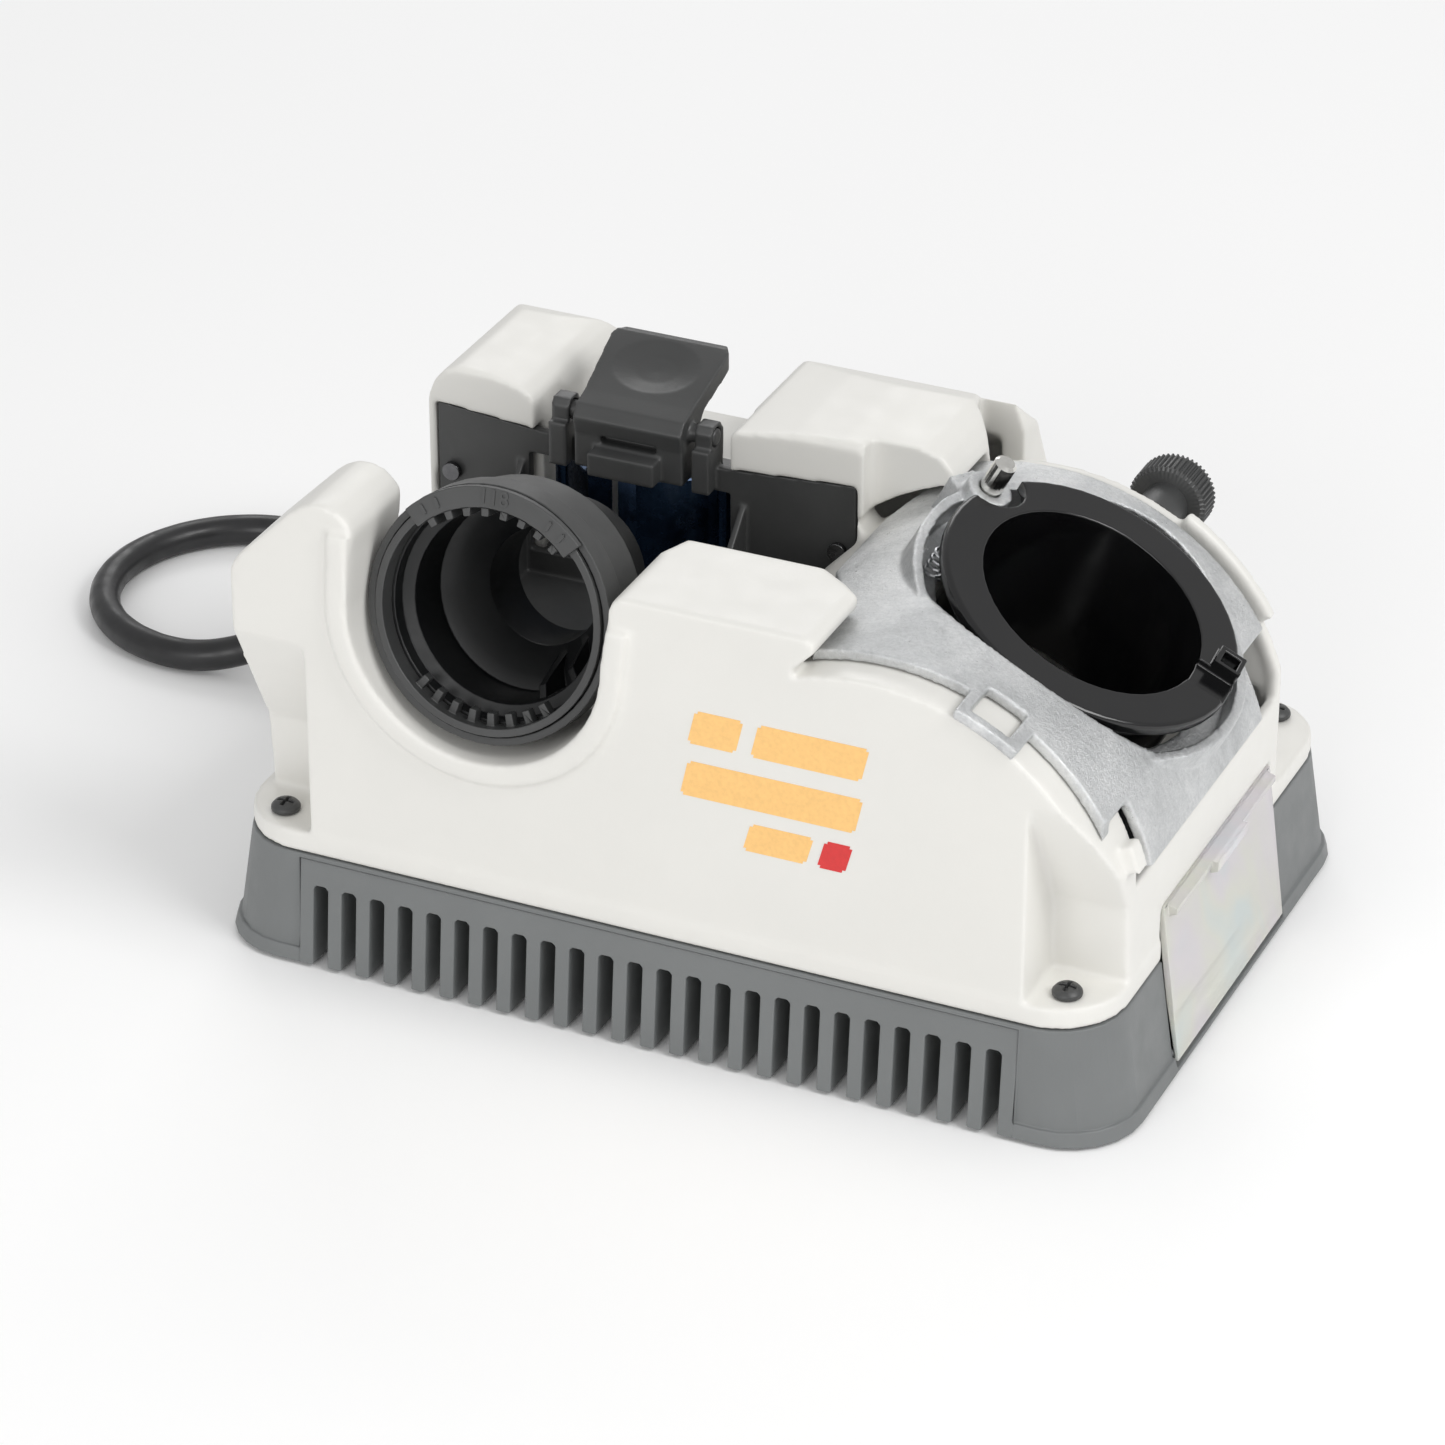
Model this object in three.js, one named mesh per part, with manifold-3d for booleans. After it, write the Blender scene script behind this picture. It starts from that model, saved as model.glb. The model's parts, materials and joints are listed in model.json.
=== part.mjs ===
// Bench-top drill bit sharpener, built as an assembly of separate pieces.
// Millimetres, +Z up, +X towards the sharpening end, -Y is the front.
// The origin is the middle of the footprint, on the surface that the feet rest on.
import * as THREE from 'three';
import { mergeVertices } from 'three/addons/utils/BufferGeometryUtils.js';
import Module from 'manifold-3d';

const wasm = await Module();
wasm.setup();

// ---- driving dimensions -------------------------------------------------

const GAP = 0.3;                                // clearance between neighbouring pieces
const WALL = 3;                                 // moulded wall thickness
const ROUND = 40;                               // sides of a large round piece
const SMALL_ROUND = 16;                         // sides of a pin or a screw

// base tub
const FLANGE = { x: 127, y: 88.4, r: 20 };      // half sizes of the bottom rim
const PARTING = { x: 121.15, y: 85.4, r: 19 };  // half sizes where tub meets housing
const RIM_BOTTOM = 1;                           // the feet lift the rim this far
const LIP_TOP = 5;
const PARTING_Z = 32.4;
const FLOOR_Z = 5;                              // top of the tub's floor
const VENT = { count: 24, first: -95.8, pitch: 8.146, width: 4.1, top: 24.1, depth: 15 };

// housing
const FRONT = -PARTING.y + 0.6;
const PAD_Z = 38.5;                             // top of the four screw pads
const END_X = 118;                              // half length of the body above the pads
const DECK_Z = 70;                              // floor of the valley under the alignment tube
const RECESS = { left: -97, right: 100.3, depth: 20, top: 96 };
const SCREW_AT = { x: 108.6, y: 76.2 };
const TOWER = { back: -57, shoulder: 108, right: -82.4 };
const MOUTH_CUT = { x: -48.2, z: 107.2, r: 35.1 };
const BEZEL = 6;                                // width of the raised rim round the mouth
const PLATEAU = { left: -11.4, right: 45, top: 127, back: -48.5 };
const REAR = { front: 10, top: 131, left: -109.5, leftEnd: -77, right: -22.6, rightEnd: 41, step: 16 };
const CAP_EDGE = { outer: 117.6, inner: 115 };  // lower edge of the caps over the bracket
const MID_TOP = 104;

// arch that the swivelling saddle rides on
const ARCH = { x: 58, z: 53.4, r: 65.4, back: 43.2 };

// sharpening side; the tube's own frame has +Z out of its mouth
const FLANGE_AT = [88.8, -14, 113.3];           // middle of the tube's top face
const TUBE_LEAN = 28;                           // degrees from upright, towards +X
const TUBE_NOD = 2.9;                           // degrees, towards the front
const TUBE = { flange: 41.1, flangeThick: 3.5, bore: 30.3, body: 34, length: 46 };
const SADDLE = { inner: 65.7, outer: 68.7, front: -76, loop: 10.4, rear: 35, low: -62 };
const COLLAR = { inner: 43.6, outer: 46.6, top: -6.5, floorTop: -14, floorHole: 36.6 };
const FOLLOWER = { x: -38.4, y: 16.5, r: 3, from: -11, to: 7, boss: 6.2 };
const LOCK = { r: 58.6, angle: 24.7, stud: 2.5, neck: 11.3 };

// alignment side; the port's own frame has +Z out of its mouth
const PORT_AT = [-48.6, -76, 109.1];
const PORT_TILT = 13;                           // degrees, the mouth looks up by this much
const PORT = {
  rim: 33.7, counterbore: 31.6, body: 31, bore: 28.6, seat: 25.4, neck: 20.5, neckBore: 15.5, length: 50,
};
const DIAL = { from: 44, to: 136 };             // the collar's flange, degrees from the port's own +X
const MID_X = -49;                              // centre line of lever, pawls and bracket
const LEVER_AXIS = { y: 12, z: 123 };
const PAWL = { thick: 1.2, low: 82, top: 107.5 };
const PAWL_LEFT = [[-55, 9.5], [-60.6, 7.7], [-71, 16.2]];
const PAWL_RIGHT = [[-53, 9.8], [-47, 7.3], [-35.4, 14.7], [-31, 17.4]];
const PAWL_PINS = { left: [-72.9, 18.4], right: [-26.6, 19.4] };

// drive
const SHAFT_Z = 31;
const SHAFT_Y = -10.5;
const WHEEL = { r: 24.6, from: 50, to: 66 };

// clear door at the end, hinged along its lower edge
const DOOR = { y0: -42.5, y1: 36.5, bottom: 3.6, top: 47.2, lowX: 126.5, highX: 120.8, thick: 2 };
const DOOR_AXIS = { x: 123.7, z: 6 };
const SWITCH = { y: -36, z: 55, halfY: 10.5, halfZ: 7 };

// mains lead
const CORD_EXIT = { y: 50, z: 15 };
const CORD_R = 4.5;
const CORD_LIE = CORD_R + 0.1;                  // height of a lead that lies on the surface
const RELIEF_TIP = -157;
const RELIEF_LENGTH = 39.5;
const COIL = { x: -40, y: 159.5, mid: 53.5, half: 9, height: 19.6 };
const PLUG = { x: 35, y: 101.5, z: 9.8, halfY: 12, halfZ: 9.2, length: 34, bladeAt: 6.4, groundAt: 5 };

// Route of the lead from the strain relief round the loop to the coil.
const LEAD_LOOP = { x: -207.5, y: 78, r: 39.5 };
const LOOP_STEPS = 12;
const CORD_ROUTE = [
  [RELIEF_TIP - GAP, 50, 15], [-163, 50, 14.9], [-171, 49.4, 13.6], [-178.5, 47.4, 11.6],
  [-185, 44.4, 9.2], [-192, 41.3, 6.8], [-199.7, 39.2, 5],
];
for (let step = 0; step <= LOOP_STEPS; step += 1) {
  const angle = Math.PI * (1.5 - step / LOOP_STEPS);
  CORD_ROUTE.push([
    LEAD_LOOP.x + LEAD_LOOP.r * Math.cos(angle),
    LEAD_LOOP.y + LEAD_LOOP.r * Math.sin(angle),
    CORD_LIE,
  ]);
}
CORD_ROUTE.push([-192, 118, CORD_LIE], [-176, 118, CORD_LIE], [-159, 117, CORD_LIE]);
CORD_ROUTE.push([-141, 114.4, CORD_LIE], [-123, 110, CORD_LIE], [-106, 105.4, CORD_LIE]);
CORD_ROUTE.push([-90, 102.2, CORD_LIE], [-80, 101.5, CORD_LIE], [-73, 101.5, CORD_LIE]);
const TAIL_ROUTE = [
  [-7, 101.5, 13.4], [4, 101.5, 12.7], [14, 101.5, 11.6], [24, 101.5, 10.5], [34.5, 101.5, 9.8],
];

// ---- shop tools ---------------------------------------------------------

function solid(geometry) {
  const bare = geometry.index ? geometry.toNonIndexed() : geometry.clone();
  for (const name of Object.keys(bare.attributes)) {
    if (name !== 'position') bare.deleteAttribute(name);
  }
  const welded = mergeVertices(bare, 1e-4);
  return new wasm.Manifold(new wasm.Mesh({
    numProp: 3,
    vertProperties: new Float32Array(welded.attributes.position.array),
    triVerts: new Uint32Array(welded.index.array),
  }));
}

function join(first, ...others) {
  return others.reduce((whole, piece) => whole.add(piece), first);
}

function cut(whole, ...tools) {
  return tools.reduce((rest, tool) => rest.subtract(tool), whole);
}

function turned(body, x, y, z, pivot = [0, 0, 0]) {
  const back = pivot.map((value) => -value);
  return body.translate(back).rotate([x, y, z]).translate(pivot);
}

function box(x0, x1, y0, y1, z0, z1) {
  const geometry = new THREE.BoxGeometry(x1 - x0, y1 - y0, z1 - z0);
  geometry.translate((x0 + x1) / 2, (y0 + y1) / 2, (z0 + z1) / 2);
  return solid(geometry);
}

function flatShape(points, holes = []) {
  const shape = new THREE.Shape(points.map(([a, b]) => new THREE.Vector2(a, b)));
  shape.holes = holes.map((hole) => new THREE.Path(hole.map(([a, b]) => new THREE.Vector2(a, b))));
  return shape;
}

// An outline in X and Y, raised along Z.
function prismZ(points, z0, z1, holes = []) {
  const settings = { depth: z1 - z0, bevelEnabled: false };
  const geometry = new THREE.ExtrudeGeometry(flatShape(points, holes), settings);
  geometry.translate(0, 0, z0);
  return solid(geometry);
}

// An outline in X and Z, run along Y.
function prismY(points, y0, y1, holes = []) {
  const settings = { depth: y1 - y0, bevelEnabled: false };
  const geometry = new THREE.ExtrudeGeometry(flatShape(points, holes), settings);
  geometry.rotateX(Math.PI / 2);
  geometry.translate(0, y1, 0);
  return solid(geometry);
}

// An outline in Y and Z, run along X.
function prismX(points, x0, x1, holes = []) {
  const settings = { depth: x1 - x0, bevelEnabled: false };
  const geometry = new THREE.ExtrudeGeometry(flatShape(points, holes), settings);
  geometry.rotateZ(Math.PI / 2);
  geometry.rotateY(Math.PI / 2);
  geometry.translate(x0, 0, 0);
  return solid(geometry);
}

// Points of an arc, angles in degrees from the first axis towards the second.
function arc(a, b, r, from, to, steps) {
  return Array.from({ length: steps + 1 }, (_, i) => {
    const angle = THREE.MathUtils.degToRad(from + ((to - from) * i) / steps);
    return [a + r * Math.cos(angle), b + r * Math.sin(angle)];
  });
}

function roundedRect(halfX, halfY, r, steps = 6) {
  return [
    ...arc(halfX - r, halfY - r, r, 0, 90, steps),
    ...arc(r - halfX, halfY - r, r, 90, 180, steps),
    ...arc(r - halfX, r - halfY, r, 180, 270, steps),
    ...arc(halfX - r, r - halfY, r, 270, 360, steps),
  ];
}

// A rounded rectangle that changes size evenly between two heights.
function drafted(low, high, z0, z1) {
  const height = z1 - z0;
  const geometry = new THREE.ExtrudeGeometry(
    flatShape(roundedRect(low.x, low.y, low.r)), { depth: height, bevelEnabled: false });
  const place = geometry.attributes.position;
  for (let i = 0; i < place.count; i += 1) {
    const t = place.getZ(i) / height;
    place.setX(i, place.getX(i) * (1 + t * (high.x / low.x - 1)));
    place.setY(i, place.getY(i) * (1 + t * (high.y / low.y - 1)));
    place.setZ(i, z0 + place.getZ(i));
  }
  return solid(geometry);
}

// A body of revolution about Z from a closed [radius, height] outline.
function spun(profile, sides = ROUND) {
  const loop = [...profile, profile[0]].map(([r, z]) => new THREE.Vector2(r, z));
  const geometry = new THREE.LatheGeometry(loop, sides);
  geometry.rotateX(Math.PI / 2);
  const made = solid(geometry);
  return made.volume() < 0 ? solid(flipped(geometry)) : made;
}

function flipped(geometry) {
  const turnedOver = geometry.clone();
  const order = turnedOver.index.array;
  for (let i = 0; i < order.length; i += 3) {
    [order[i], order[i + 1]] = [order[i + 1], order[i]];
  }
  return turnedOver;
}

// Round bars along each axis.
function rodZ(r, z0, z1, x = 0, y = 0, sides = SMALL_ROUND) {
  const geometry = new THREE.CylinderGeometry(r, r, z1 - z0, sides);
  geometry.rotateX(Math.PI / 2);
  geometry.translate(x, y, (z0 + z1) / 2);
  return solid(geometry);
}

function rodX(r, x0, x1, y, z, sides = SMALL_ROUND) {
  const geometry = new THREE.CylinderGeometry(r, r, x1 - x0, sides);
  geometry.rotateZ(Math.PI / 2);
  geometry.translate((x0 + x1) / 2, y, z);
  return solid(geometry);
}

function rodY(r, y0, y1, x, z, sides = SMALL_ROUND) {
  const geometry = new THREE.CylinderGeometry(r, r, y1 - y0, sides);
  geometry.translate(x, (y0 + y1) / 2, z);
  return solid(geometry);
}

// A tube of round section along a smooth curve through points.
function swept(points, r, steps, sides = 10) {
  const path = new THREE.CatmullRomCurve3(points.map((p) => new THREE.Vector3(...p)));
  const section = flatShape(arc(0, 0, r, 0, 360 - 360 / sides, sides - 1));
  return new THREE.ExtrudeGeometry(section, { steps, bevelEnabled: false, extrudePath: path });
}

function plastic(color, roughness = 0.5) {
  return new THREE.MeshStandardMaterial({ color, roughness, metalness: 0 });
}

function metal(color, roughness = 0.35) {
  return new THREE.MeshStandardMaterial({ color, roughness, metalness: 1 });
}

const finish = {
  housing: () => plastic(0xe8e6e0, 0.55),
  base: () => plastic(0x8c8d8e, 0.6),
  black: () => plastic(0x2b2b2c, 0.45),
  gloss: () => plastic(0x101011, 0.2),
  rubber: () => plastic(0x1c1c1d, 0.8),
  clear: () => plastic(0xdde3e6, 0.1),
  zinc: () => metal(0xc8cbcd, 0.4),
  steel: () => metal(0xb4b6b8, 0.3),
  copper: () => metal(0xb06a3a, 0.4),
  diamond: () => plastic(0x6d6f66, 0.9),
  spring: () => metal(0x3b5068, 0.3),
};

// A named piece of the assembly.
function piece(name, body, material, parent) {
  let geometry = body;
  if (!body.isBufferGeometry) {
    const cutMesh = body.getMesh();
    geometry = new THREE.BufferGeometry();
    geometry.setAttribute('position', new THREE.BufferAttribute(cutMesh.vertProperties, 3));
    geometry.setIndex(new THREE.BufferAttribute(cutMesh.triVerts, 1));
  }
  const mesh = new THREE.Mesh(geometry, material);
  mesh.name = name;
  parent.add(mesh);
  return mesh;
}

// ---- base tub -----------------------------------------------------------

function baseTub() {
  const wallLow = { x: 125.2, y: 86.9, r: 19 };
  const lip = drafted(FLANGE, { x: 126, y: 87.6, r: 20 }, RIM_BOTTOM, LIP_TOP);
  const wall = drafted(wallLow, PARTING, LIP_TOP - 0.5, PARTING_Z);
  const ventEnd = VENT.first + VENT.pitch * VENT.count;
  const blockOutline = [[-88.4, RIM_BOTTOM], [-70, RIM_BOTTOM], [-70, PARTING_Z - 1], [-85.6, PARTING_Z - 1]];
  const frontBlock = prismX(blockOutline, VENT.first - 4, ventEnd);
  const rearOutline = blockOutline.map(([y, z]) => [-y, z]).reverse();
  const rearBlock = prismX(rearOutline, VENT.first - 4, ventEnd);
  const hollow = drafted(
    { x: wallLow.x - WALL, y: wallLow.y - WALL, r: 16 },
    { x: PARTING.x - WALL, y: PARTING.y - WALL, r: 16 }, FLOOR_Z, PARTING_Z + 1);
  let body = join(cut(join(lip, wall), hollow), frontBlock, rearBlock);
  const bay = box(VENT.first - 7, ventEnd + 3, -FLANGE.y + VENT.depth, FLANGE.y - VENT.depth, FLOOR_Z, 40);
  body = cut(body, bay);
  for (let i = 0; i < VENT.count; i += 1) {
    const x = VENT.first + i * VENT.pitch;
    const inner = FLANGE.y - VENT.depth - 1;
    const slot = [[x, 0], [x + VENT.width, 0], [x + VENT.width, VENT.top - 0.8],
      [x + VENT.width - 0.8, VENT.top], [x + 0.8, VENT.top], [x, VENT.top - 0.8]];
    body = cut(body, prismY(slot, -FLANGE.y - 2, -inner), prismY(slot, inner, FLANGE.y + 2));
  }
  const posts = [];
  for (const sx of [-1, 1]) {
    for (const sy of [-1, 1]) {
      posts.push(rodZ(5.5, FLOOR_Z - 1, PARTING_Z - 0.4, sx * SCREW_AT.x, sy * SCREW_AT.y, 12));
    }
  }
  body = join(body, ...posts);
  for (const sx of [-1, 1]) {
    for (const sy of [-1, 1]) {
      body = cut(body, rodZ(2.1, 12, 40, sx * SCREW_AT.x, sy * SCREW_AT.y, 8));
      body = cut(body, rodZ(8.3, 0, 2.8, sx * 100, sy * 58, 20));
    }
  }
  const doorway = prismY([[110, 2], [130, 2], [130, 40], [110, 40]], DOOR.y0 - GAP, DOOR.y1 + GAP);
  const cordHole = rodX(7.1, -130, -115, CORD_EXIT.y, CORD_EXIT.z, 16);
  const doorHinge = rodY(1.25, DOOR.y0 - 3.6, DOOR.y1 + 3.6, DOOR_AXIS.x, DOOR_AXIS.z, 10);
  body = cut(body, doorway, cordHole, doorHinge);

  // bulkhead beside the grinding wheel and two cradles under the motor
  const bulkhead = cut(box(38, 40.5, -72, 72, FLOOR_Z - 1, PARTING_Z - 0.4),
    rodX(7, 30, 50, SHAFT_Y, SHAFT_Z, 16));
  const seat = rodX(23.3, -70, 30, SHAFT_Y, SHAFT_Z, ROUND);
  const cradles = [-50, -8].map((x) => cut(
    box(x, x + 3, SHAFT_Y - 22, SHAFT_Y + 22, FLOOR_Z - 1, 24), seat));
  return join(body, bulkhead, ...cradles);
}

// ---- top housing --------------------------------------------------------

// Front wall seen from the front: tower, mouth, plateau, without the arch.
function frontOutline() {
  return [
    [-END_X, 36], [-END_X + 0.6, TOWER.shoulder],
    ...arc(-107.4, TOWER.shoulder + 1, 10, 180, 135, 3),
    [-99, 131.4],
    ...arc(-91, 125, 10, 125, 20, 5),
    [TOWER.right, 122],
    ...arc(MOUTH_CUT.x, MOUTH_CUT.z, MOUTH_CUT.r, 180, 360, 24),
    [PLATEAU.left, PLATEAU.top - 4],
    [PLATEAU.left + 1, PLATEAU.top - 1.5],
    [PLATEAU.left + 3.5, PLATEAU.top],
    [PLATEAU.right - 4, PLATEAU.top],
    [PLATEAU.right - 1, PLATEAU.top - 1.6],
    [PLATEAU.right - 1.6, PLATEAU.top - 4],
    [PLATEAU.right - 6.5, PLATEAU.top - 9],
    [PLATEAU.right - 9.5, 114],
    [PLATEAU.right - 9.5, 36],
  ].reverse();
}

function archOutline(r, low) {
  const reach = THREE.MathUtils.radToDeg(Math.asin((low - ARCH.z) / r));
  return arc(ARCH.x, ARCH.z, r, reach, 180 - reach, 30);
}

// Rear block seen from the side.
function rearOutline(front, inset, top) {
  return [
    [front + inset, 36], [front + inset, top - inset - 4], [front + inset + 1.2, top - inset - 1.2],
    [front + inset + 4, top - inset], [44, top - inset], [58, top - 5 - inset], [70, top - 16 - inset],
    [79 - inset, top - 34], [82 - inset, 70], [PARTING.y - 0.8 - inset, 36],
  ].reverse();
}

// Front view of the space under the two caps; its top follows their lower edges.
function bracketOutline(side, gap) {
  return [
    [REAR.left + 2.6 - side, DECK_Z + gap], [13.7 + side, DECK_Z + gap], [13.7 + side, CAP_EDGE.outer - gap],
    [REAR.right, CAP_EDGE.inner - gap], [REAR.leftEnd, CAP_EDGE.inner - gap],
    [REAR.left + 2.6 - side, CAP_EDGE.outer - gap],
  ];
}

// Cutters that crown the caps and round their ends.
function capTrims() {
  const overLeft = prismY([
    [-112, 112], [REAR.left, 118], [-107.6, 123.5], [-104.6, 127], [-100.6, 128.8], [-90, 128.4], [-82, 126.6],
    [-78.8, 124.6], [REAR.leftEnd, 121], [-75.6, 112], [-75.6, 140], [-112, 140],
  ].reverse(), 0, 90);
  const overRight = prismY([
    [-24, 118], [REAR.right, 124.6], [-20, 126.4], [-4, 128.9], [10, 130], [30, 129.6], [35.5, 127.8],
    [38.6, 124], [REAR.rightEnd, 117], [43, 117], [43, 140], [-24, 140],
  ].reverse(), 0, 90);
  const rearCorner = prismZ([[28, 60], [32, 48], [REAR.rightEnd + 0.5, 36], [50, 36], [50, 60]], 105, 140);
  const fingerRecess = box(REAR.leftEnd - 1.2, REAR.leftEnd + 1, 13.5, 27, 116, 122.6);
  return [overLeft, overRight, rearCorner, fingerRecess];
}

// Space over a screw pad; its inner wall leans out to meet the main wall.
function cornerRecess(x0, x1, side, inset = 0) {
  const wallY = PARTING.y - RECESS.depth - inset;
  const outline = [
    [side * 92, PAD_Z - inset], [side * wallY, PAD_Z - inset],
    [side * (wallY + 2), PAD_Z + 2 + RECESS.depth],
    [side * (PARTING.y + 0.5 - inset), RECESS.top], [side * 92, RECESS.top + 10],
  ];
  return prismX(side < 0 ? outline.reverse() : outline, x0, x1);
}

function topHousing() {
  const skirt = prismZ(roundedRect(PARTING.x - 0.1, PARTING.y - 0.1, PARTING.r), PARTING_Z + GAP, PAD_Z);
  const low = box(-END_X + 0.5, END_X, FRONT + 0.5, 81.4, 34, DECK_Z);
  const front = prismY(frontOutline(), FRONT, TOWER.back);
  const plateau = prismZ([
    [PLATEAU.left + 1.5, TOWER.back - 1], [PLATEAU.right - 1.6, TOWER.back - 1], [PLATEAU.right - 6, -54],
    [PLATEAU.right - 14, PLATEAU.back], [PLATEAU.left + 5, PLATEAU.back],
  ], 60, PLATEAU.top);
  const arch = prismY(archOutline(ARCH.r, 34), FRONT, ARCH.back);
  const archLimit = box(-20, END_X + 2.6, -100, 100, 30, 150);
  const leftRear = prismX(rearOutline(REAR.front, 0, REAR.top), REAR.left, REAR.leftEnd);
  const rightRear = prismX(rearOutline(REAR.front, 0, REAR.top), REAR.right, REAR.rightEnd);
  const midRear = prismX([[26, 36], [26, MID_TOP], [60, MID_TOP], [80, 90], [PARTING.y - 1.4, 36]].reverse(),
    REAR.leftEnd - 1, REAR.right + 1);
  let body = join(skirt, low, front, plateau, leftRear, rightRear, midRear);

  // bezel round the mouth of the alignment side
  const bezel = prismY([
    [TOWER.right - BEZEL, 128], ...arc(MOUTH_CUT.x, MOUTH_CUT.z, MOUTH_CUT.r + BEZEL, 180, 360, 24),
    [PLATEAU.left + BEZEL, 118], [PLATEAU.left, 118],
    ...arc(MOUTH_CUT.x, MOUTH_CUT.z, MOUTH_CUT.r, 360, 180, 24), [TOWER.right, 128],
  ], FRONT - 2, FRONT + 2);
  body = join(body, bezel);

  // the hump steps back beside the bracket; the valley lies in front of it;
  // the plateau and the hump leave room for the saddle
  body = cut(body,
    box(16, REAR.rightEnd + 1, 0, REAR.step, 105, 140),
    ...capTrims(),
    box(REAR.leftEnd - 1, REAR.right + 1, REAR.front - 8, 27, DECK_Z, 150),
    box(-130, 20, PLATEAU.back + 0.6, REAR.front + 0.3, DECK_Z, 150),
    saddleSweep());
  body = join(body, arch.intersect(archLimit), ...saddleGuides());
  body = cut(body, prismY(bracketOutline(0.4, 0), REAR.front - 2, REAR.step));

  // corners open down to the pads
  body = cut(body,
    cornerRecess(-130, RECESS.left, -1), cornerRecess(RECESS.right, 130, -1),
    cornerRecess(-130, RECESS.left, 1), box(74, 130, ARCH.back + 2, 100, PAD_Z, 150));

  // the pads keep to the skirt's round corners
  body = cut(body, cut(box(-140, 140, -110, 110, 20, PAD_Z),
    prismZ(roundedRect(PARTING.x - 0.1, PARTING.y - 0.1, PARTING.r), 10, 60)));

  // inner hollow, open downwards
  const hollow = join(
    box(-END_X + WALL, END_X - WALL, FRONT + WALL, 81.4 - WALL, 30, DECK_Z - WALL).intersect(
      prismZ(roundedRect(PARTING.x - WALL - 0.5, -FRONT - 1.8, 15), 29, DECK_Z)),
    prismY(archOutline(ARCH.r - WALL, 40), FRONT + WALL + 0.5, ARCH.back - WALL).intersect(
      box(-20, END_X - 0.4, -100, 100, 30, 150)),
    prismX(rearOutline(19, WALL, 124), REAR.left + WALL, REAR.leftEnd - WALL - 1.5),
    prismX(rearOutline(19, WALL, 124), REAR.right + WALL, REAR.rightEnd - WALL - 4),
    prismX([[29, 60], [29, MID_TOP - WALL], [58, MID_TOP - WALL], [77, 87], [79.4, 60]].reverse(),
      REAR.leftEnd - 8, REAR.right + 8));
  const cornerSolids = join(
    cornerRecess(-130, RECESS.left + WALL, -1, WALL),
    cornerRecess(RECESS.right - WALL, 130, -1, WALL),
    cornerRecess(-130, RECESS.left + WALL, 1, WALL),
    box(71, 130, ARCH.back - 1, 100, PAD_Z - WALL, 150));
  const padHollow = prismZ(roundedRect(PARTING.x - WALL - 0.5, PARTING.y - WALL - 1, 15), 30, PAD_Z - WALL);
  body = cut(body, cut(hollow, cornerSolids), padHollow);

  // openings: sharpening tube, doorway, switch, lock slot, screw holes
  body = cut(body, tubeOpening(), doorOpening());
  body = cut(body, box(-130, -100, SWITCH.y - SWITCH.halfY, SWITCH.y + SWITCH.halfY,
    SWITCH.z - SWITCH.halfZ, SWITCH.z + SWITCH.halfZ));
  body = cut(body, lockSlot());
  for (const sx of [-1, 1]) {
    for (const sy of [-1, 1]) {
      body = cut(body, rodZ(2.2, 20, 60, sx * SCREW_AT.x, sy * SCREW_AT.y, 12));
    }
  }
  return body;
}

// Window in the arch under the saddle, for the tube to swing in.
function tubeOpening() {
  const low = ARCH.z + 11.4;
  const middle = [[ARCH.x, low], [ARCH.x + 80 * Math.sin(-0.48), ARCH.z + 80 * Math.cos(-0.48)]];
  const front = [[ARCH.x, low], [46.2, 100]];
  const rear = [[ARCH.x, low], [41, 96]];
  const beyond = [[ARCH.x, 150], [ARCH.x + 100, 150], [ARCH.x + 100, low]];
  return join(
    prismY([...middle, ...beyond].reverse(), -48.2, REAR.step),
    prismY([...front, [46.2, 150], ...beyond].reverse(), -62, -47.6),
    prismY([...rear, [41, 150], ...beyond].reverse(), REAR.step, 39.5));
}

// Everything that the saddle plate sweeps past, down to the arch's axis.
function saddleSweep() {
  return prismY([[ARCH.x, ARCH.z], ...arc(ARCH.x, ARCH.z, SADDLE.outer + 1.3, 8, 129, 24)],
    SADDLE.front - 1, SADDLE.rear + 2);
}

// Guide post for the fork, and the lip behind the saddle.
function saddleGuides() {
  const post = prismY([
    ...arc(ARCH.x, ARCH.z, SADDLE.outer + 0.5, 90 - 73, 90 - 66.7, 3),
    ...arc(ARCH.x, ARCH.z, ARCH.r - 2, 90 - 66.7, 90 - 73, 3),
  ], -70.5, -64.5);
  const lip = prismY([
    ...arc(ARCH.x, ARCH.z, 69.3, 30, 59, 6),
    ...arc(ARCH.x, ARCH.z, ARCH.r - 2, 59, 30, 6),
  ], SADDLE.rear + 3, ARCH.back);
  return [post, lip];
}

function doorOpening() {
  return box(100, 130, DOOR.y0 - GAP, DOOR.y1 + GAP, 30, DOOR.top + GAP);
}

function lockSlot() {
  const from = 90 - LOCK.angle - 11;
  const to = 90 - LOCK.angle + 11;
  return prismY([
    ...arc(ARCH.x, ARCH.z, LOCK.r + LOCK.stud + 0.8, from, to, 6),
    ...arc(ARCH.x, ARCH.z, LOCK.r - LOCK.stud - 0.8, to, from, 6),
  ], 40, 60);
}

// ---- sharpening side, in the tube's own frame ---------------------------

const tubeTurn = new THREE.Euler(
  THREE.MathUtils.degToRad(TUBE_NOD), THREE.MathUtils.degToRad(TUBE_LEAN), 0, 'YXZ');
const tubeFrame = new THREE.Matrix4().makeRotationFromEuler(tubeTurn).setPosition(...FLANGE_AT);

// Moves a solid by a three.js matrix.
function moved(body, matrix) {
  return body.transform([...matrix.elements]);
}

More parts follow.
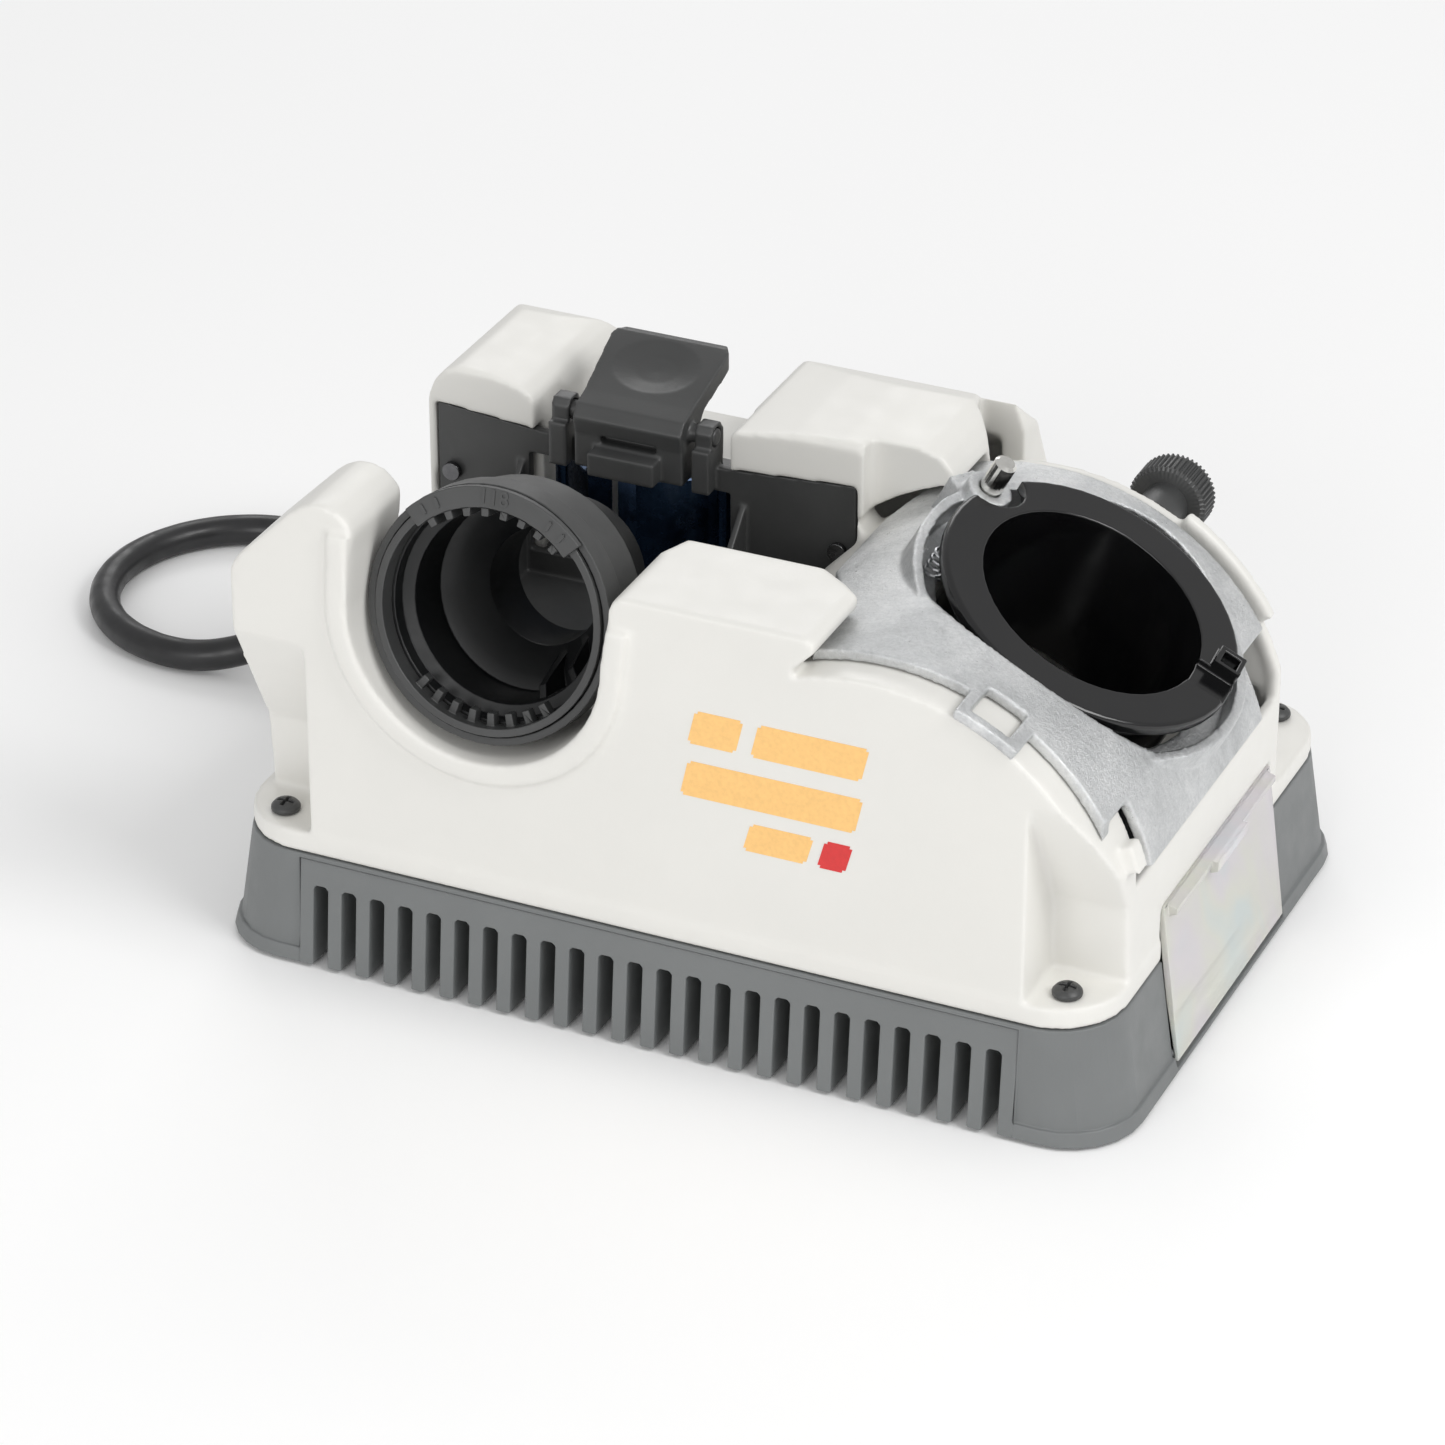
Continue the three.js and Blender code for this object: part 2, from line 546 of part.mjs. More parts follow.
function sharpeningTube() {
  const body = spun([
    [TUBE.bore, 0], [TUBE.flange - 0.8, 0], [TUBE.flange, -0.8], [TUBE.flange, -TUBE.flangeThick],
    [TUBE.body, -TUBE.flangeThick], [TUBE.body, -TUBE.length], [TUBE.bore, -TUBE.length],
  ], 48);
  const boss = rodZ(FOLLOWER.boss + 2.6, -6, 2, FOLLOWER.x, FOLLOWER.y, 20);
  const ramp = turned(box(TUBE.bore - 2, TUBE.flange + 2, -5.5, 4, -1.8, 2), 0, 0, 5);
  const tab = turned(box(33.2, TUBE.flange - 0.4, 3.4, 11.4, -2, 2.2), 0, 0, 5);
  const pocket = turned(box(34.8, 39.2, 5.2, 9.6, -6, 4), 0, 0, 5);
  return cut(join(body, tab), boss, ramp, pocket);
}

// Curved plate over the arch with a raised collar for the tube.
function saddleCasting() {
  const outer = arc(ARCH.x, ARCH.z, SADDLE.outer, 90 - 75, 90 + 31, 26);
  const inner = arc(ARCH.x, ARCH.z, SADDLE.inner, 90 - 75, 90 + 31, 26);
  const shell = prismY([...outer, ...[...inner].reverse()], SADDLE.front - SADDLE.loop, SADDLE.rear);
  const besideLoop = [[10, 54.8], [70.2, 180]].map(([from, to]) => prismY(
    [[ARCH.x, ARCH.z], ...arc(ARCH.x, ARCH.z, 100, from, to, 4)], -95, SADDLE.front));
  const window = prismY([[ARCH.x, ARCH.z], ...arc(ARCH.x, ARCH.z, 80, 58, 67.6, 1)],
    SADDLE.front - SADDLE.loop + 3, SADDLE.front + 4.6);
  const leftTrim = prismZ([
    [0, -80], [ARCH.x - 18.5, -80], [ARCH.x - 18.5, -76], [ARCH.x - 27.5, -38], [ARCH.x - 34, -26],
    [ARCH.x - 34, 4], [ARCH.x - 31, 15], [ARCH.x - 22, 36], [0, 36],
  ], 60, 140);
  const frontLow = box(116.4, 130, -90, SADDLE.low, 60, ARCH.z + 35.2);
  const slot = box(114, 130, -72, SADDLE.low, 60, ARCH.z + 33.5);
  const rearLow = box(110, 130, 18, 40, 60, ARCH.z + 34);
  let plate = cut(shell, ...besideLoop, window, leftTrim, frontLow, slot, rearLow);

  // collar, its floor and the follower's boss, clipped to the plate's outer skin
  const wall = moved(spun([
    [COLLAR.inner, -22], [COLLAR.outer, -22], [COLLAR.outer, 6], [COLLAR.inner, 6],
  ], 40), tubeFrame);
  const skin = prismY([[ARCH.x, ARCH.z - 20], ...outer], -90, 60);
  const lower = moved(rodZ(60, -40, COLLAR.top, 0, 0, 24), tubeFrame);
  const floor = moved(spun([
    [COLLAR.floorHole, COLLAR.floorTop - 3], [COLLAR.inner + 1, COLLAR.floorTop - 3],
    [COLLAR.inner + 1, COLLAR.floorTop], [COLLAR.floorHole, COLLAR.floorTop],
  ], 40), tubeFrame);
  const boss = moved(rodZ(FOLLOWER.boss, COLLAR.floorTop - 1, -2.5, FOLLOWER.x, FOLLOWER.y, 20), tubeFrame);
  const web = moved(turned(box(-51, -43, -4.5, 4.5, -18, -6.5), 0, 0, -23), tubeFrame);
  const bore = moved(rodZ(COLLAR.inner, -40, 20, 0, 0, 40), tubeFrame);
  const outerWeb = cut(web, prismY([[ARCH.x, ARCH.z - 20], ...inner], -90, 60));
  plate = join(cut(join(plate, outerWeb), bore), wall.intersect(join(skin, lower)), floor, boss);
  const pinHole = moved(rodZ(FOLLOWER.r + 0.05, FOLLOWER.from - 0.3, 20, FOLLOWER.x, FOLLOWER.y), tubeFrame);
  const lugAt = lockPoint();
  const lug = rodY(4.5, 28.5, 38, lugAt.x, lugAt.z, 16);
  const studHole = rodY(LOCK.stud + GAP, 33, 50, lugAt.x, lugAt.z);
  return cut(join(plate, cut(lug, moved(rodZ(COLLAR.inner + 1, -60, 20), tubeFrame))), pinHole, studHole);
}

function lockPoint() {
  const angle = THREE.MathUtils.degToRad(LOCK.angle);
  return { x: ARCH.x + LOCK.r * Math.sin(angle), z: ARCH.z + LOCK.r * Math.cos(angle) };
}

function followerPin() {
  return spun([[0, FOLLOWER.from], [FOLLOWER.r - 0.25, FOLLOWER.from], [FOLLOWER.r - 0.25, -2.4],
    [FOLLOWER.r, -2.1], [FOLLOWER.r, FOLLOWER.to - 0.8], [FOLLOWER.r - 0.8, FOLLOWER.to], [0, FOLLOWER.to]],
  20).translate([FOLLOWER.x, FOLLOWER.y, 0]);
}

function coilSpring(r, wire, height, turns) {
  const points = [];
  const steps = turns * 12;
  for (let i = 0; i <= steps; i += 1) {
    const angle = (i / 12) * 2 * Math.PI;
    points.push([r * Math.cos(angle), r * Math.sin(angle), wire + (i / steps) * (height - 2 * wire)]);
  }
  return swept(points, wire, steps, 6);
}

function lockKnob() {
  const ribs = [];
  const count = 24;
  for (let i = 0; i < count; i += 1) {
    const angle = i * 15;
    ribs.push(...arc(0, 0, 10.6, angle, angle + 7.5, 1), ...arc(0, 0, 10, angle + 8.5, angle + 14, 1));
  }
  const grip = prismZ(ribs, 0, 9.6);
  const neck = rodZ(6.2, -LOCK.neck, 0.5, 0, 0, 24);
  const dish = rodZ(7.4, 8.6, 12, 0, 0, 24);
  const hole = rodZ(LOCK.stud + GAP, -LOCK.neck - 2, 8, 0, 0);
  return cut(join(grip, neck), dish, hole);
}

// ---- alignment side, in the port's own frame ----------------------------

function alignmentTube() {
  const body = spun([
    [PORT.counterbore, 0], [PORT.rim, 0], [PORT.rim, -8], [PORT.body, -8], [PORT.body, -24],
    [PORT.neck, -37], [PORT.neck, -PORT.length], [PORT.neckBore, -PORT.length], [PORT.neckBore, -33],
    [PORT.seat - 4, -26], [PORT.seat, -24], [PORT.seat, -10], [PORT.bore, -9], [PORT.bore, -5],
    [PORT.counterbore, -5],
  ], 48);
  const ribs = [-12, 12].map((angle) => turned(prismX([
    [-PORT.seat - 1, -12], [-PORT.seat - 1, -34], [-PORT.neckBore - 1, -34], [-PORT.seat + 3.4, -15],
  ], -1.1, 1.1), 0, 0, 38 + angle));
  const cone = spun([[0, 1], [PORT.seat + 1, 1], [PORT.seat + 1, -24.4], [PORT.seat - 3.4, -26.4],
    [PORT.neckBore + 1, -33.6], [PORT.neckBore + 1, -PORT.length], [0, -PORT.length]], 48);
  return join(body, ...ribs.map((rib) => rib.intersect(cone)));
}

// Ring with notched segments that the chuck keys into; turned to choose the point angle.
function angleCollar() {
  const ring = spun([
    [29.2, -4.6], [PORT.counterbore - GAP, -4.6], [PORT.counterbore - GAP, 0.9], [29.2, 0.9],
  ], 64);
  const segments = [];
  for (const middle of [90, -90]) {
    for (let i = 0; i < 8; i += 1) {
      const from = middle - 41 + i * 10.9;
      segments.push(prismZ([
        ...arc(0, 0, 29.6, from, from + 4.4, 1), ...arc(0, 0, 25.8, from + 4.4, from, 1),
      ], -4.6, middle > 0 ? 2.4 : -1.5));
    }
  }
  const dial = prismZ([
    ...arc(0, 0, PORT.rim - 0.2, DIAL.from, DIAL.to, 20), ...arc(0, 0, 28, DIAL.to, DIAL.from, 20),
  ], 0.6, 2.6);
  return join(ring, dial, ...segments);
}

function bracket() {
  const { left, right } = PAWL_PINS;
  const floor = DECK_Z + GAP;
  const plate = prismY(bracketOutline(0, GAP), 11.2, 14);
  const foot = box(REAR.left + 2.6, -6.5, -40, 9.7, floor, floor + 2);
  const heel = box(-90, -8, 9, 12, floor, floor + 2);
  const window = box(-80, -22, 5, 20, 79, 108);
  const gapAbove = box(-66.5, -31.5, 5, 20, 100, 140);
  const ears = [[-72, -67], [-31, -26]].map(([x0, x1]) => prismX([
    [6.5, 108.4], [16, 108.4], [16.4, 124], [14.4, 126.6], [10, 126.6],
    [8.6, 124.6], [8.6, 120.6], [6.5, 120.6],
  ].reverse(), x0, x1));
  const gussets = [-83, -19].map((x) => prismX([[11.5, 106], [11.5, 72], [-14, 72], [-14, 80]], x, x + 1.8));
  const shelves = [[left, -1], [right, 1]].map(([[x, y], side]) => join(
    box(x - 3.4, x + 3.4, 13, y + 2.9, 76.5, 80.6),
    box(x - 3.4, x + 3.4, 13, y + 2.9, 108.4, 112)));
  let body = cut(plate, window, gapAbove);
  body = join(body, foot, heel, ...ears, ...gussets, ...shelves);
  const bores = [
    rodX(2.8, -80, -20, LEVER_AXIS.y, LEVER_AXIS.z),
    ...[left, right].map(([x, y]) => rodZ(1.5, 70, 111, x, y, 12)),
    ...[-102.5, 9].map((x) => rodY(1.7, 5, 20, x, 98)),
  ];
  const leverRoom = box(-66.5, -31.5, 0, 30, 100, 140);
  return cut(body, leverRoom, ...bores);
}

function rivet(x) {
  const head = rodY(2.6, 9.3, 10.9, x, 98, 20);
  return join(head, rodY(1.4, 10.5, 13.6, x, 98, 12));
}

function lever() {
  const half = 15.6;
  const side = [
    [6.5, 109.5], [6.5, 119], [5.5, 124], [8, 127.2], [13, 128.8], [34.4, 137], [37, 136.6], [38, 133.4],
    [20, 126], [15.5, 121], [14.5, 109.5],
  ].reverse();
  const slab = prismX(side, MID_X - half - 2, MID_X + half + 2);
  const taperLeft = prismZ([[MID_X - 30, -5], [MID_X - half, -5], [MID_X - half, 14], [MID_X - half - 1.4, 33],
    [MID_X - half + 2, 39], [MID_X - 30, 42]], 90, 150);
  const taperRight = prismZ([[MID_X + 30, -5], [MID_X + 30, 42], [MID_X + half - 2, 39],
    [MID_X + half + 1.4, 33], [MID_X + half, 14], [MID_X + half, -5]], 90, 150);
  const dishShape = new THREE.SphereGeometry(26, 24, 18);
  dishShape.rotateX(Math.PI - Math.acos(0.358));
  dishShape.scale(1.3, 1, 1);
  dishShape.translate(MID_X, 15.84, 155.8);
  const crossBlock = box(MID_X - 9.5, MID_X + 9.5, 1.5, 8, 110, 116.5);
  const slot = box(MID_X - 8, MID_X + 8, 0, 10, 117.2, 119.4);
  const shaft = rodX(2.5, -72.3, -25.7, LEVER_AXIS.y, LEVER_AXIS.z);
  return cut(join(cut(slab, taperLeft, taperRight), shaft, crossBlock), solid(dishShape), slot);
}

// Spring leaf, bent to a ridge, with a barrel round its pin.
function pawl(path, [pinX, pinY]) {
  const route = path.map(([x, y]) => new THREE.Vector2(x, y));
  route.push(new THREE.Vector2(pinX, pinY));
  const left = [];
  const right = [];
  route.forEach((point, i) => {
    const before = route[Math.max(i - 1, 0)];
    const after = route[Math.min(i + 1, route.length - 1)];
    const along = after.clone().sub(before).normalize();
    const across = new THREE.Vector2(-along.y, along.x).multiplyScalar(PAWL.thick / 2);
    left.push([point.x + across.x, point.y + across.y]);
    right.push([point.x - across.x, point.y - across.y]);
  });
  const outline = [...left, ...right.reverse()];
  const wound = THREE.ShapeUtils.area(outline.map(([x, y]) => new THREE.Vector2(x, y))) > 0;
  const leaf = prismZ(wound ? outline : outline.reverse(), PAWL.low, PAWL.top);
  const barrel = rodZ(2.7, PAWL.low, PAWL.top, pinX, pinY);
  return cut(join(leaf, barrel), rodZ(1.5, PAWL.low - 1, PAWL.top + 1, pinX, pinY, 12));
}

function pawlPin([x, y]) {
  return rodZ(1.2, 76.8, 110.7, x, y, 12);
}

// ---- door, switch, drive ------------------------------------------------

function door() {
  const { lowX, highX, thick, bottom, top, y0, y1 } = DOOR;
  const panel = prismY([[lowX, bottom], [highX, top], [highX - thick, top], [lowX - thick, bottom]],
    y0 + GAP, y1 - GAP);
  const ridge = prismY([[highX + 0.4, top - 3.4], [highX + 2.6, top - 2.6], [highX + 2.6, top - 0.8],
    [highX - 0.4, top]], y0 + 3, y1 - 3);
  const tab = prismY([[highX + 2, top - 4.6], [highX + 4.2, top - 3.8], [highX + 4.2, top - 0.8],
    [highX + 2, top - 0.8]], -14, 8);
  const pins = rodY(0.9, y0 - 3, y1 + 3, DOOR_AXIS.x, DOOR_AXIS.z, 10);
  const heel = prismY([[122.3, bottom + 0.6], [125.6, bottom + 0.2], [125.4, 8], [122.3, 8]],
    y0 + GAP, y1 - GAP);
  const rib = box(115, 124, y0 + 4, y1 - 30, 14, 15.2);
  return join(panel, ridge, tab, pins, heel, rib);
}

function switchFrame() {
  const { y, z, halfY, halfZ } = SWITCH;
  const x = -END_X;
  const bezel = box(x - 1.8, x - GAP, y - halfY - 1.6, y + halfY + 1.6, z - halfZ - 1.6, z + halfZ + 1.6);
  const can = box(x - 0.5, x + 14, y - halfY + GAP, y + halfY - GAP, z - halfZ + GAP, z + halfZ - GAP);
  const pocket = box(x - 3, x + 8, y - halfY + 1.8, y + halfY - 1.8, z - halfZ + 1.6, z + halfZ - 1.6);
  const pivot = rodZ(1.3, z - halfZ + 0.8, z + halfZ - 0.8, x + 2.6, y, 12);
  return cut(join(bezel, can), pocket, pivot);
}

function switchRocker() {
  const { y, z, halfY, halfZ } = SWITCH;
  const x = -END_X;
  const top = [[x + 5, y - 7.6], [x + 5, y + 7.6], [x - 3.4, y + 8], [x - 1.2, y], [x - 3.4, y - 8]];
  const rocker = prismZ([...top].reverse(), z - halfZ + 2, z + halfZ - 2);
  const pins = rodZ(1, z - halfZ + 1.1, z + halfZ - 1.1, x + 2.6, y, 12);
  return turned(join(rocker, pins), 0, 0, -6, [x + 2.6, y, z]);
}

function ring(outer, inner, x0, x1, sides = ROUND) {
  return cut(rodX(outer, x0, x1, SHAFT_Y, SHAFT_Z, sides),
    rodX(inner, x0 - 1, x1 + 1, SHAFT_Y, SHAFT_Z, sides));
}

function armature() {
  const core = rodX(16.6, -46, -12, SHAFT_Y, SHAFT_Z, 24);
  const commutator = rodX(8, -11.5, -3, SHAFT_Y, SHAFT_Z, 24);
  const slots = [];
  for (let i = 0; i < 8; i += 1) {
    slots.push(turned(box(-47, -11.8, SHAFT_Y - 1.2, SHAFT_Y + 1.2, SHAFT_Z + 12, SHAFT_Z + 20), i * 45, 0, 0,
      [0, SHAFT_Y, SHAFT_Z]));
  }
  const neck = rodX(5, -13, -1.8, SHAFT_Y, SHAFT_Z, 16);
  const hole = rodX(3.3, -60, 10, SHAFT_Y, SHAFT_Z, SMALL_ROUND);
  return cut(join(cut(core, ...slots), commutator, neck), hole);
}

function fan() {
  const hub = rodX(7, -69, -64, SHAFT_Y, SHAFT_Z, 18);
  const plate = rodX(20, -64.8, -63.4, SHAFT_Y, SHAFT_Z, 36);
  const blades = [];
  for (let i = 0; i < 9; i += 1) {
    blades.push(turned(box(-69, -64, SHAFT_Y - 0.6, SHAFT_Y + 0.6, SHAFT_Z + 5, SHAFT_Z + 19.4), i * 40, 0, 0,
      [0, SHAFT_Y, SHAFT_Z]));
  }
  return cut(join(hub, plate, ...blades), rodX(3.3, -80, -50, SHAFT_Y, SHAFT_Z));
}

function wheelNut() {
  const hex = arc(0, 0, 5.8, 0, 300, 5);
  const body = prismX(hex, WHEEL.to + 0.3, WHEEL.to + 5).translate([0, SHAFT_Y, SHAFT_Z]);
  return cut(body, rodX(3.3, 50, 80, SHAFT_Y, SHAFT_Z));
}

// ---- screws, feet, lead -------------------------------------------------

function caseScrew(x, y) {
  const top = PAD_Z + 2.8;
  const head = spun([
    [0, PAD_Z + 0.3], [3.9, PAD_Z + 0.3], [3.9, PAD_Z + 1.4], [3, top - 0.4], [1.6, top], [0, top],
  ], 20);
  const shank = rodZ(1.6, 14, PAD_Z + 0.8, 0, 0, 10);
  const cross = [
    box(-2.3, 2.3, -0.4, 0.4, top - 1.5, top + 1),
    box(-0.4, 0.4, -2.3, 2.3, top - 1.5, top + 1),
  ];
  return cut(join(head, shank), ...cross).translate([x, y, 0]);
}

function strainRelief() {
  const { y, z } = CORD_EXIT;
  const geometry = new THREE.LatheGeometry([
    [0, 0], [8.6, 0], [8.6, 1.6], [6.7, 1.6], [6.7, 8], [8.4, 8], [8.4, 10.4], [7.2, 11.5],
    [5.4, RELIEF_LENGTH], [0, RELIEF_LENGTH],
  ].map(([r, along]) => new THREE.Vector2(r, along)), 20);
  geometry.rotateZ(Math.PI / 2);
  geometry.translate(RELIEF_TIP + RELIEF_LENGTH, y, z);
  const body = solid(geometry);
  return body.volume() > 0 ? body : solid(flipped(geometry));
}

function plugBody() {
  const { x, y, z, halfY, halfZ, length } = PLUG;
  const body = prismX(roundedRect(halfY, halfZ, 6, 4), x + 10, x + length).translate([0, y, z]);
  const neck = rodX(6.4, x, x + 12, y, z, 20);
  const slots = [-1, 1].map((side) => {
    const middle = y + side * PLUG.bladeAt;
    return box(x + length - 12, x + length + 2, middle - 1.1, middle + 1.1, z - 3.6, z + 3.6);
  });
  slots.push(rodX(2.7, x + length - 12, x + length + 2, y, z + PLUG.groundAt, 12));
  return cut(join(body, neck), ...slots);
}

function plugBlade(side) {
  const { x, y, z, length } = PLUG;
  const middle = y + side * PLUG.bladeAt;
  return box(x + length - 11, x + length + 17, middle - 0.75, middle + 0.75, z - 3.2, z + 3.2);
}

function plugGround() {
  const { x, y, z, length } = PLUG;
  return rodX(2.4, x + length - 11, x + length + 20, y, z + PLUG.groundAt, 12);
}

function coil() {
  const { mid, half, height } = COIL;
  const bevel = 3;
  return spun([
    [mid - half + bevel, 0], [mid + half - bevel, 0],
    [mid + half, bevel], [mid + half, height - bevel],
    [mid + half - bevel, height], [mid - half + bevel, height],
    [mid - half, height - bevel], [mid - half, bevel],
  ], 40).translate([COIL.x, COIL.y, 0]);
}

// ---- assembly -----------------------------------------------------------

const machine = new THREE.Group();
piece('base_tub', baseTub(), finish.base(), machine);
piece('top_housing', topHousing(), finish.housing(), machine);

const corners = [['front_left', -1, -1], ['front_right', 1, -1], ['rear_left', -1, 1], ['rear_right', 1, 1]];
for (const [name, sx, sy] of corners) {
  piece(`case_screw_${name}`, caseScrew(sx * SCREW_AT.x, sy * SCREW_AT.y), finish.black(), machine);
  piece(`foot_${name}`, rodZ(8, 0, 2.5, sx * 100, sy * 58, 20), finish.rubber(), machine);
}

const swivel = new THREE.Group();
swivel.name = 'saddle_swivel';
machine.add(swivel);
piece('saddle_casting', saddleCasting(), finish.zinc(), swivel);
const tubeGroup = new THREE.Group();
tubeGroup.position.set(...FLANGE_AT);
tubeGroup.rotation.copy(tubeTurn);
swivel.add(tubeGroup);
piece('sharpening_tube', sharpeningTube(), finish.gloss(), tubeGroup);
piece('follower_pin', followerPin(), finish.steel(), tubeGroup);
const tubeSpring = piece('tube_spring', coilSpring(2.4, 0.45, 9.4, 4), finish.steel(), tubeGroup);
tubeSpring.position.set(-36.5, -13, COLLAR.floorTop + GAP);

const lock = lockPoint();
piece('lock_stud', rodY(LOCK.stud, 33.6, 62, lock.x, lock.z), finish.steel(), swivel);
const knob = piece('lock_knob', lockKnob(), finish.black(), machine);
knob.position.set(lock.x, ARCH.back + GAP + LOCK.neck, lock.z);
knob.rotation.x = -Math.PI / 2;

const portGroup = new THREE.Group();
portGroup.position.set(...PORT_AT);
portGroup.rotation.x = THREE.MathUtils.degToRad(90 - PORT_TILT);
machine.add(portGroup);
piece('alignment_tube', alignmentTube(), finish.black(), portGroup);
piece('angle_collar', angleCollar(), finish.black(), portGroup);

piece('alignment_bracket', bracket(), finish.black(), machine);
piece('bracket_rivet_left', rivet(-102.5), finish.steel(), machine);
piece('bracket_rivet_right', rivet(9), finish.steel(), machine);
piece('release_lever', lever(), finish.black(), machine);
piece('pawl_left', pawl(PAWL_LEFT, PAWL_PINS.left), finish.spring(), machine);
piece('pawl_right', pawl(PAWL_RIGHT, PAWL_PINS.right), finish.spring(), machine);
piece('pawl_pin_left', pawlPin(PAWL_PINS.left), finish.steel(), machine);
piece('pawl_pin_right', pawlPin(PAWL_PINS.right), finish.steel(), machine);

piece('debris_door', door(), finish.clear(), machine);
piece('switch_frame', switchFrame(), finish.black(), machine);
piece('switch_rocker', switchRocker(), finish.black(), machine);

piece('motor_stator', ring(23, 17.4, -58, 4), finish.steel(), machine);
piece('motor_armature', armature(), finish.copper(), machine);
piece('bearing_fan_end', ring(17.1, 3.3, -56.5, -51.5, 28), finish.steel(), machine);
piece('bearing_wheel_end', ring(17.1, 3.3, -1.5, 3.5, 28), finish.steel(), machine);
for (const [name, side] of [['front', -1], ['rear', 1]]) {
  const y = [SHAFT_Y + side * 8.5, SHAFT_Y + side * 16.8];
  const block = box(-10, -5, Math.min(...y), Math.max(...y), SHAFT_Z - 2.5, SHAFT_Z + 2.5);
  piece(`brush_${name}`, block, finish.rubber(), machine);
}
piece('drive_shaft', rodX(3, -71, 73, SHAFT_Y, SHAFT_Z), finish.steel(), machine);
piece('cooling_fan', fan(), finish.black(), machine);
piece('grinding_wheel', ring(WHEEL.r, 3.3, WHEEL.from, WHEEL.to), finish.diamond(), machine);
piece('wheel_nut', wheelNut(), finish.steel(), machine);

piece('strain_relief', strainRelief(), finish.rubber(), machine);
piece('cord_lead', swept(CORD_ROUTE, CORD_R, 48, 10), finish.rubber(), machine);
piece('cord_coil', coil(), finish.rubber(), machine);
piece('cord_tail', swept(TAIL_ROUTE, CORD_R, 4, 10), finish.rubber(), machine);
piece('plug_body', plugBody(), finish.rubber(), machine);
piece('plug_blade_left', plugBlade(1), finish.steel(), machine);
piece('plug_blade_right', plugBlade(-1), finish.steel(), machine);
piece('plug_ground_pin', plugGround(), finish.steel(), machine);

export default machine;
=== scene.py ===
"""Bench-top drill bit sharpener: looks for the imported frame. Metres, +Z up, +X towards the door."""
import bpy
import bmesh
import json
import math
from mathutils import Matrix, Vector


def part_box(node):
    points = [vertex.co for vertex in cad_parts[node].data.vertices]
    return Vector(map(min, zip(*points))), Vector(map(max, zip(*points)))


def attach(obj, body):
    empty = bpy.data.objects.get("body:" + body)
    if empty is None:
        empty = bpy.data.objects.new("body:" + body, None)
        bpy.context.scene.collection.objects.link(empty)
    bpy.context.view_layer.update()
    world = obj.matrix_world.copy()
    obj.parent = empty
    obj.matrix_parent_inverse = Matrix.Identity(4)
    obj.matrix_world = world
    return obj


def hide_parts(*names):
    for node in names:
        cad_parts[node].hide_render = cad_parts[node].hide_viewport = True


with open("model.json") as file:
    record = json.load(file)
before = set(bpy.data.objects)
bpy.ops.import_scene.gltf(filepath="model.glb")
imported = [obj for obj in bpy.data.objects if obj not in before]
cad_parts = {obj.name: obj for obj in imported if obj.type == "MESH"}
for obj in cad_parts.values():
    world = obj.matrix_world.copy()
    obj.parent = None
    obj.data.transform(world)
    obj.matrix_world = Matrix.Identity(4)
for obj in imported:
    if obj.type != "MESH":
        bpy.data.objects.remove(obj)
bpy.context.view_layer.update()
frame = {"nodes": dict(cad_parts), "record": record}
NODES = frame["nodes"]
BODY_OF = {n: b for b, ns in frame["record"]["behaviour"]["bodies"].items() for n in ns}
SLOT_OF = {s["node"]: s["material_slot"] for s in frame["record"]["subparts"]}
MM = 0.001
PORT = Matrix.Translation(Vector((-48.6, -76.0, 109.1)) * MM) @ Matrix.Rotation(math.radians(77), 4, "X")

# ---- camera -----------------------------------------------------------------

camera_data = bpy.data.cameras.new("camera")
camera_data.lens = 141.38
camera_data.sensor_width = 36.0
camera_data.clip_start = 0.05
camera_data.clip_end = 20.0
camera = bpy.data.objects.new("camera", camera_data)
camera.location = (0.5186, -1.1840, 0.7850)
camera.rotation_euler = Vector((-0.3594, 0.7916, -0.4941)).to_track_quat("-Z", "Y").to_euler()
bpy.context.scene.collection.objects.link(camera)
bpy.context.scene.camera = camera


# ---- materials --------------------------------------------------------------

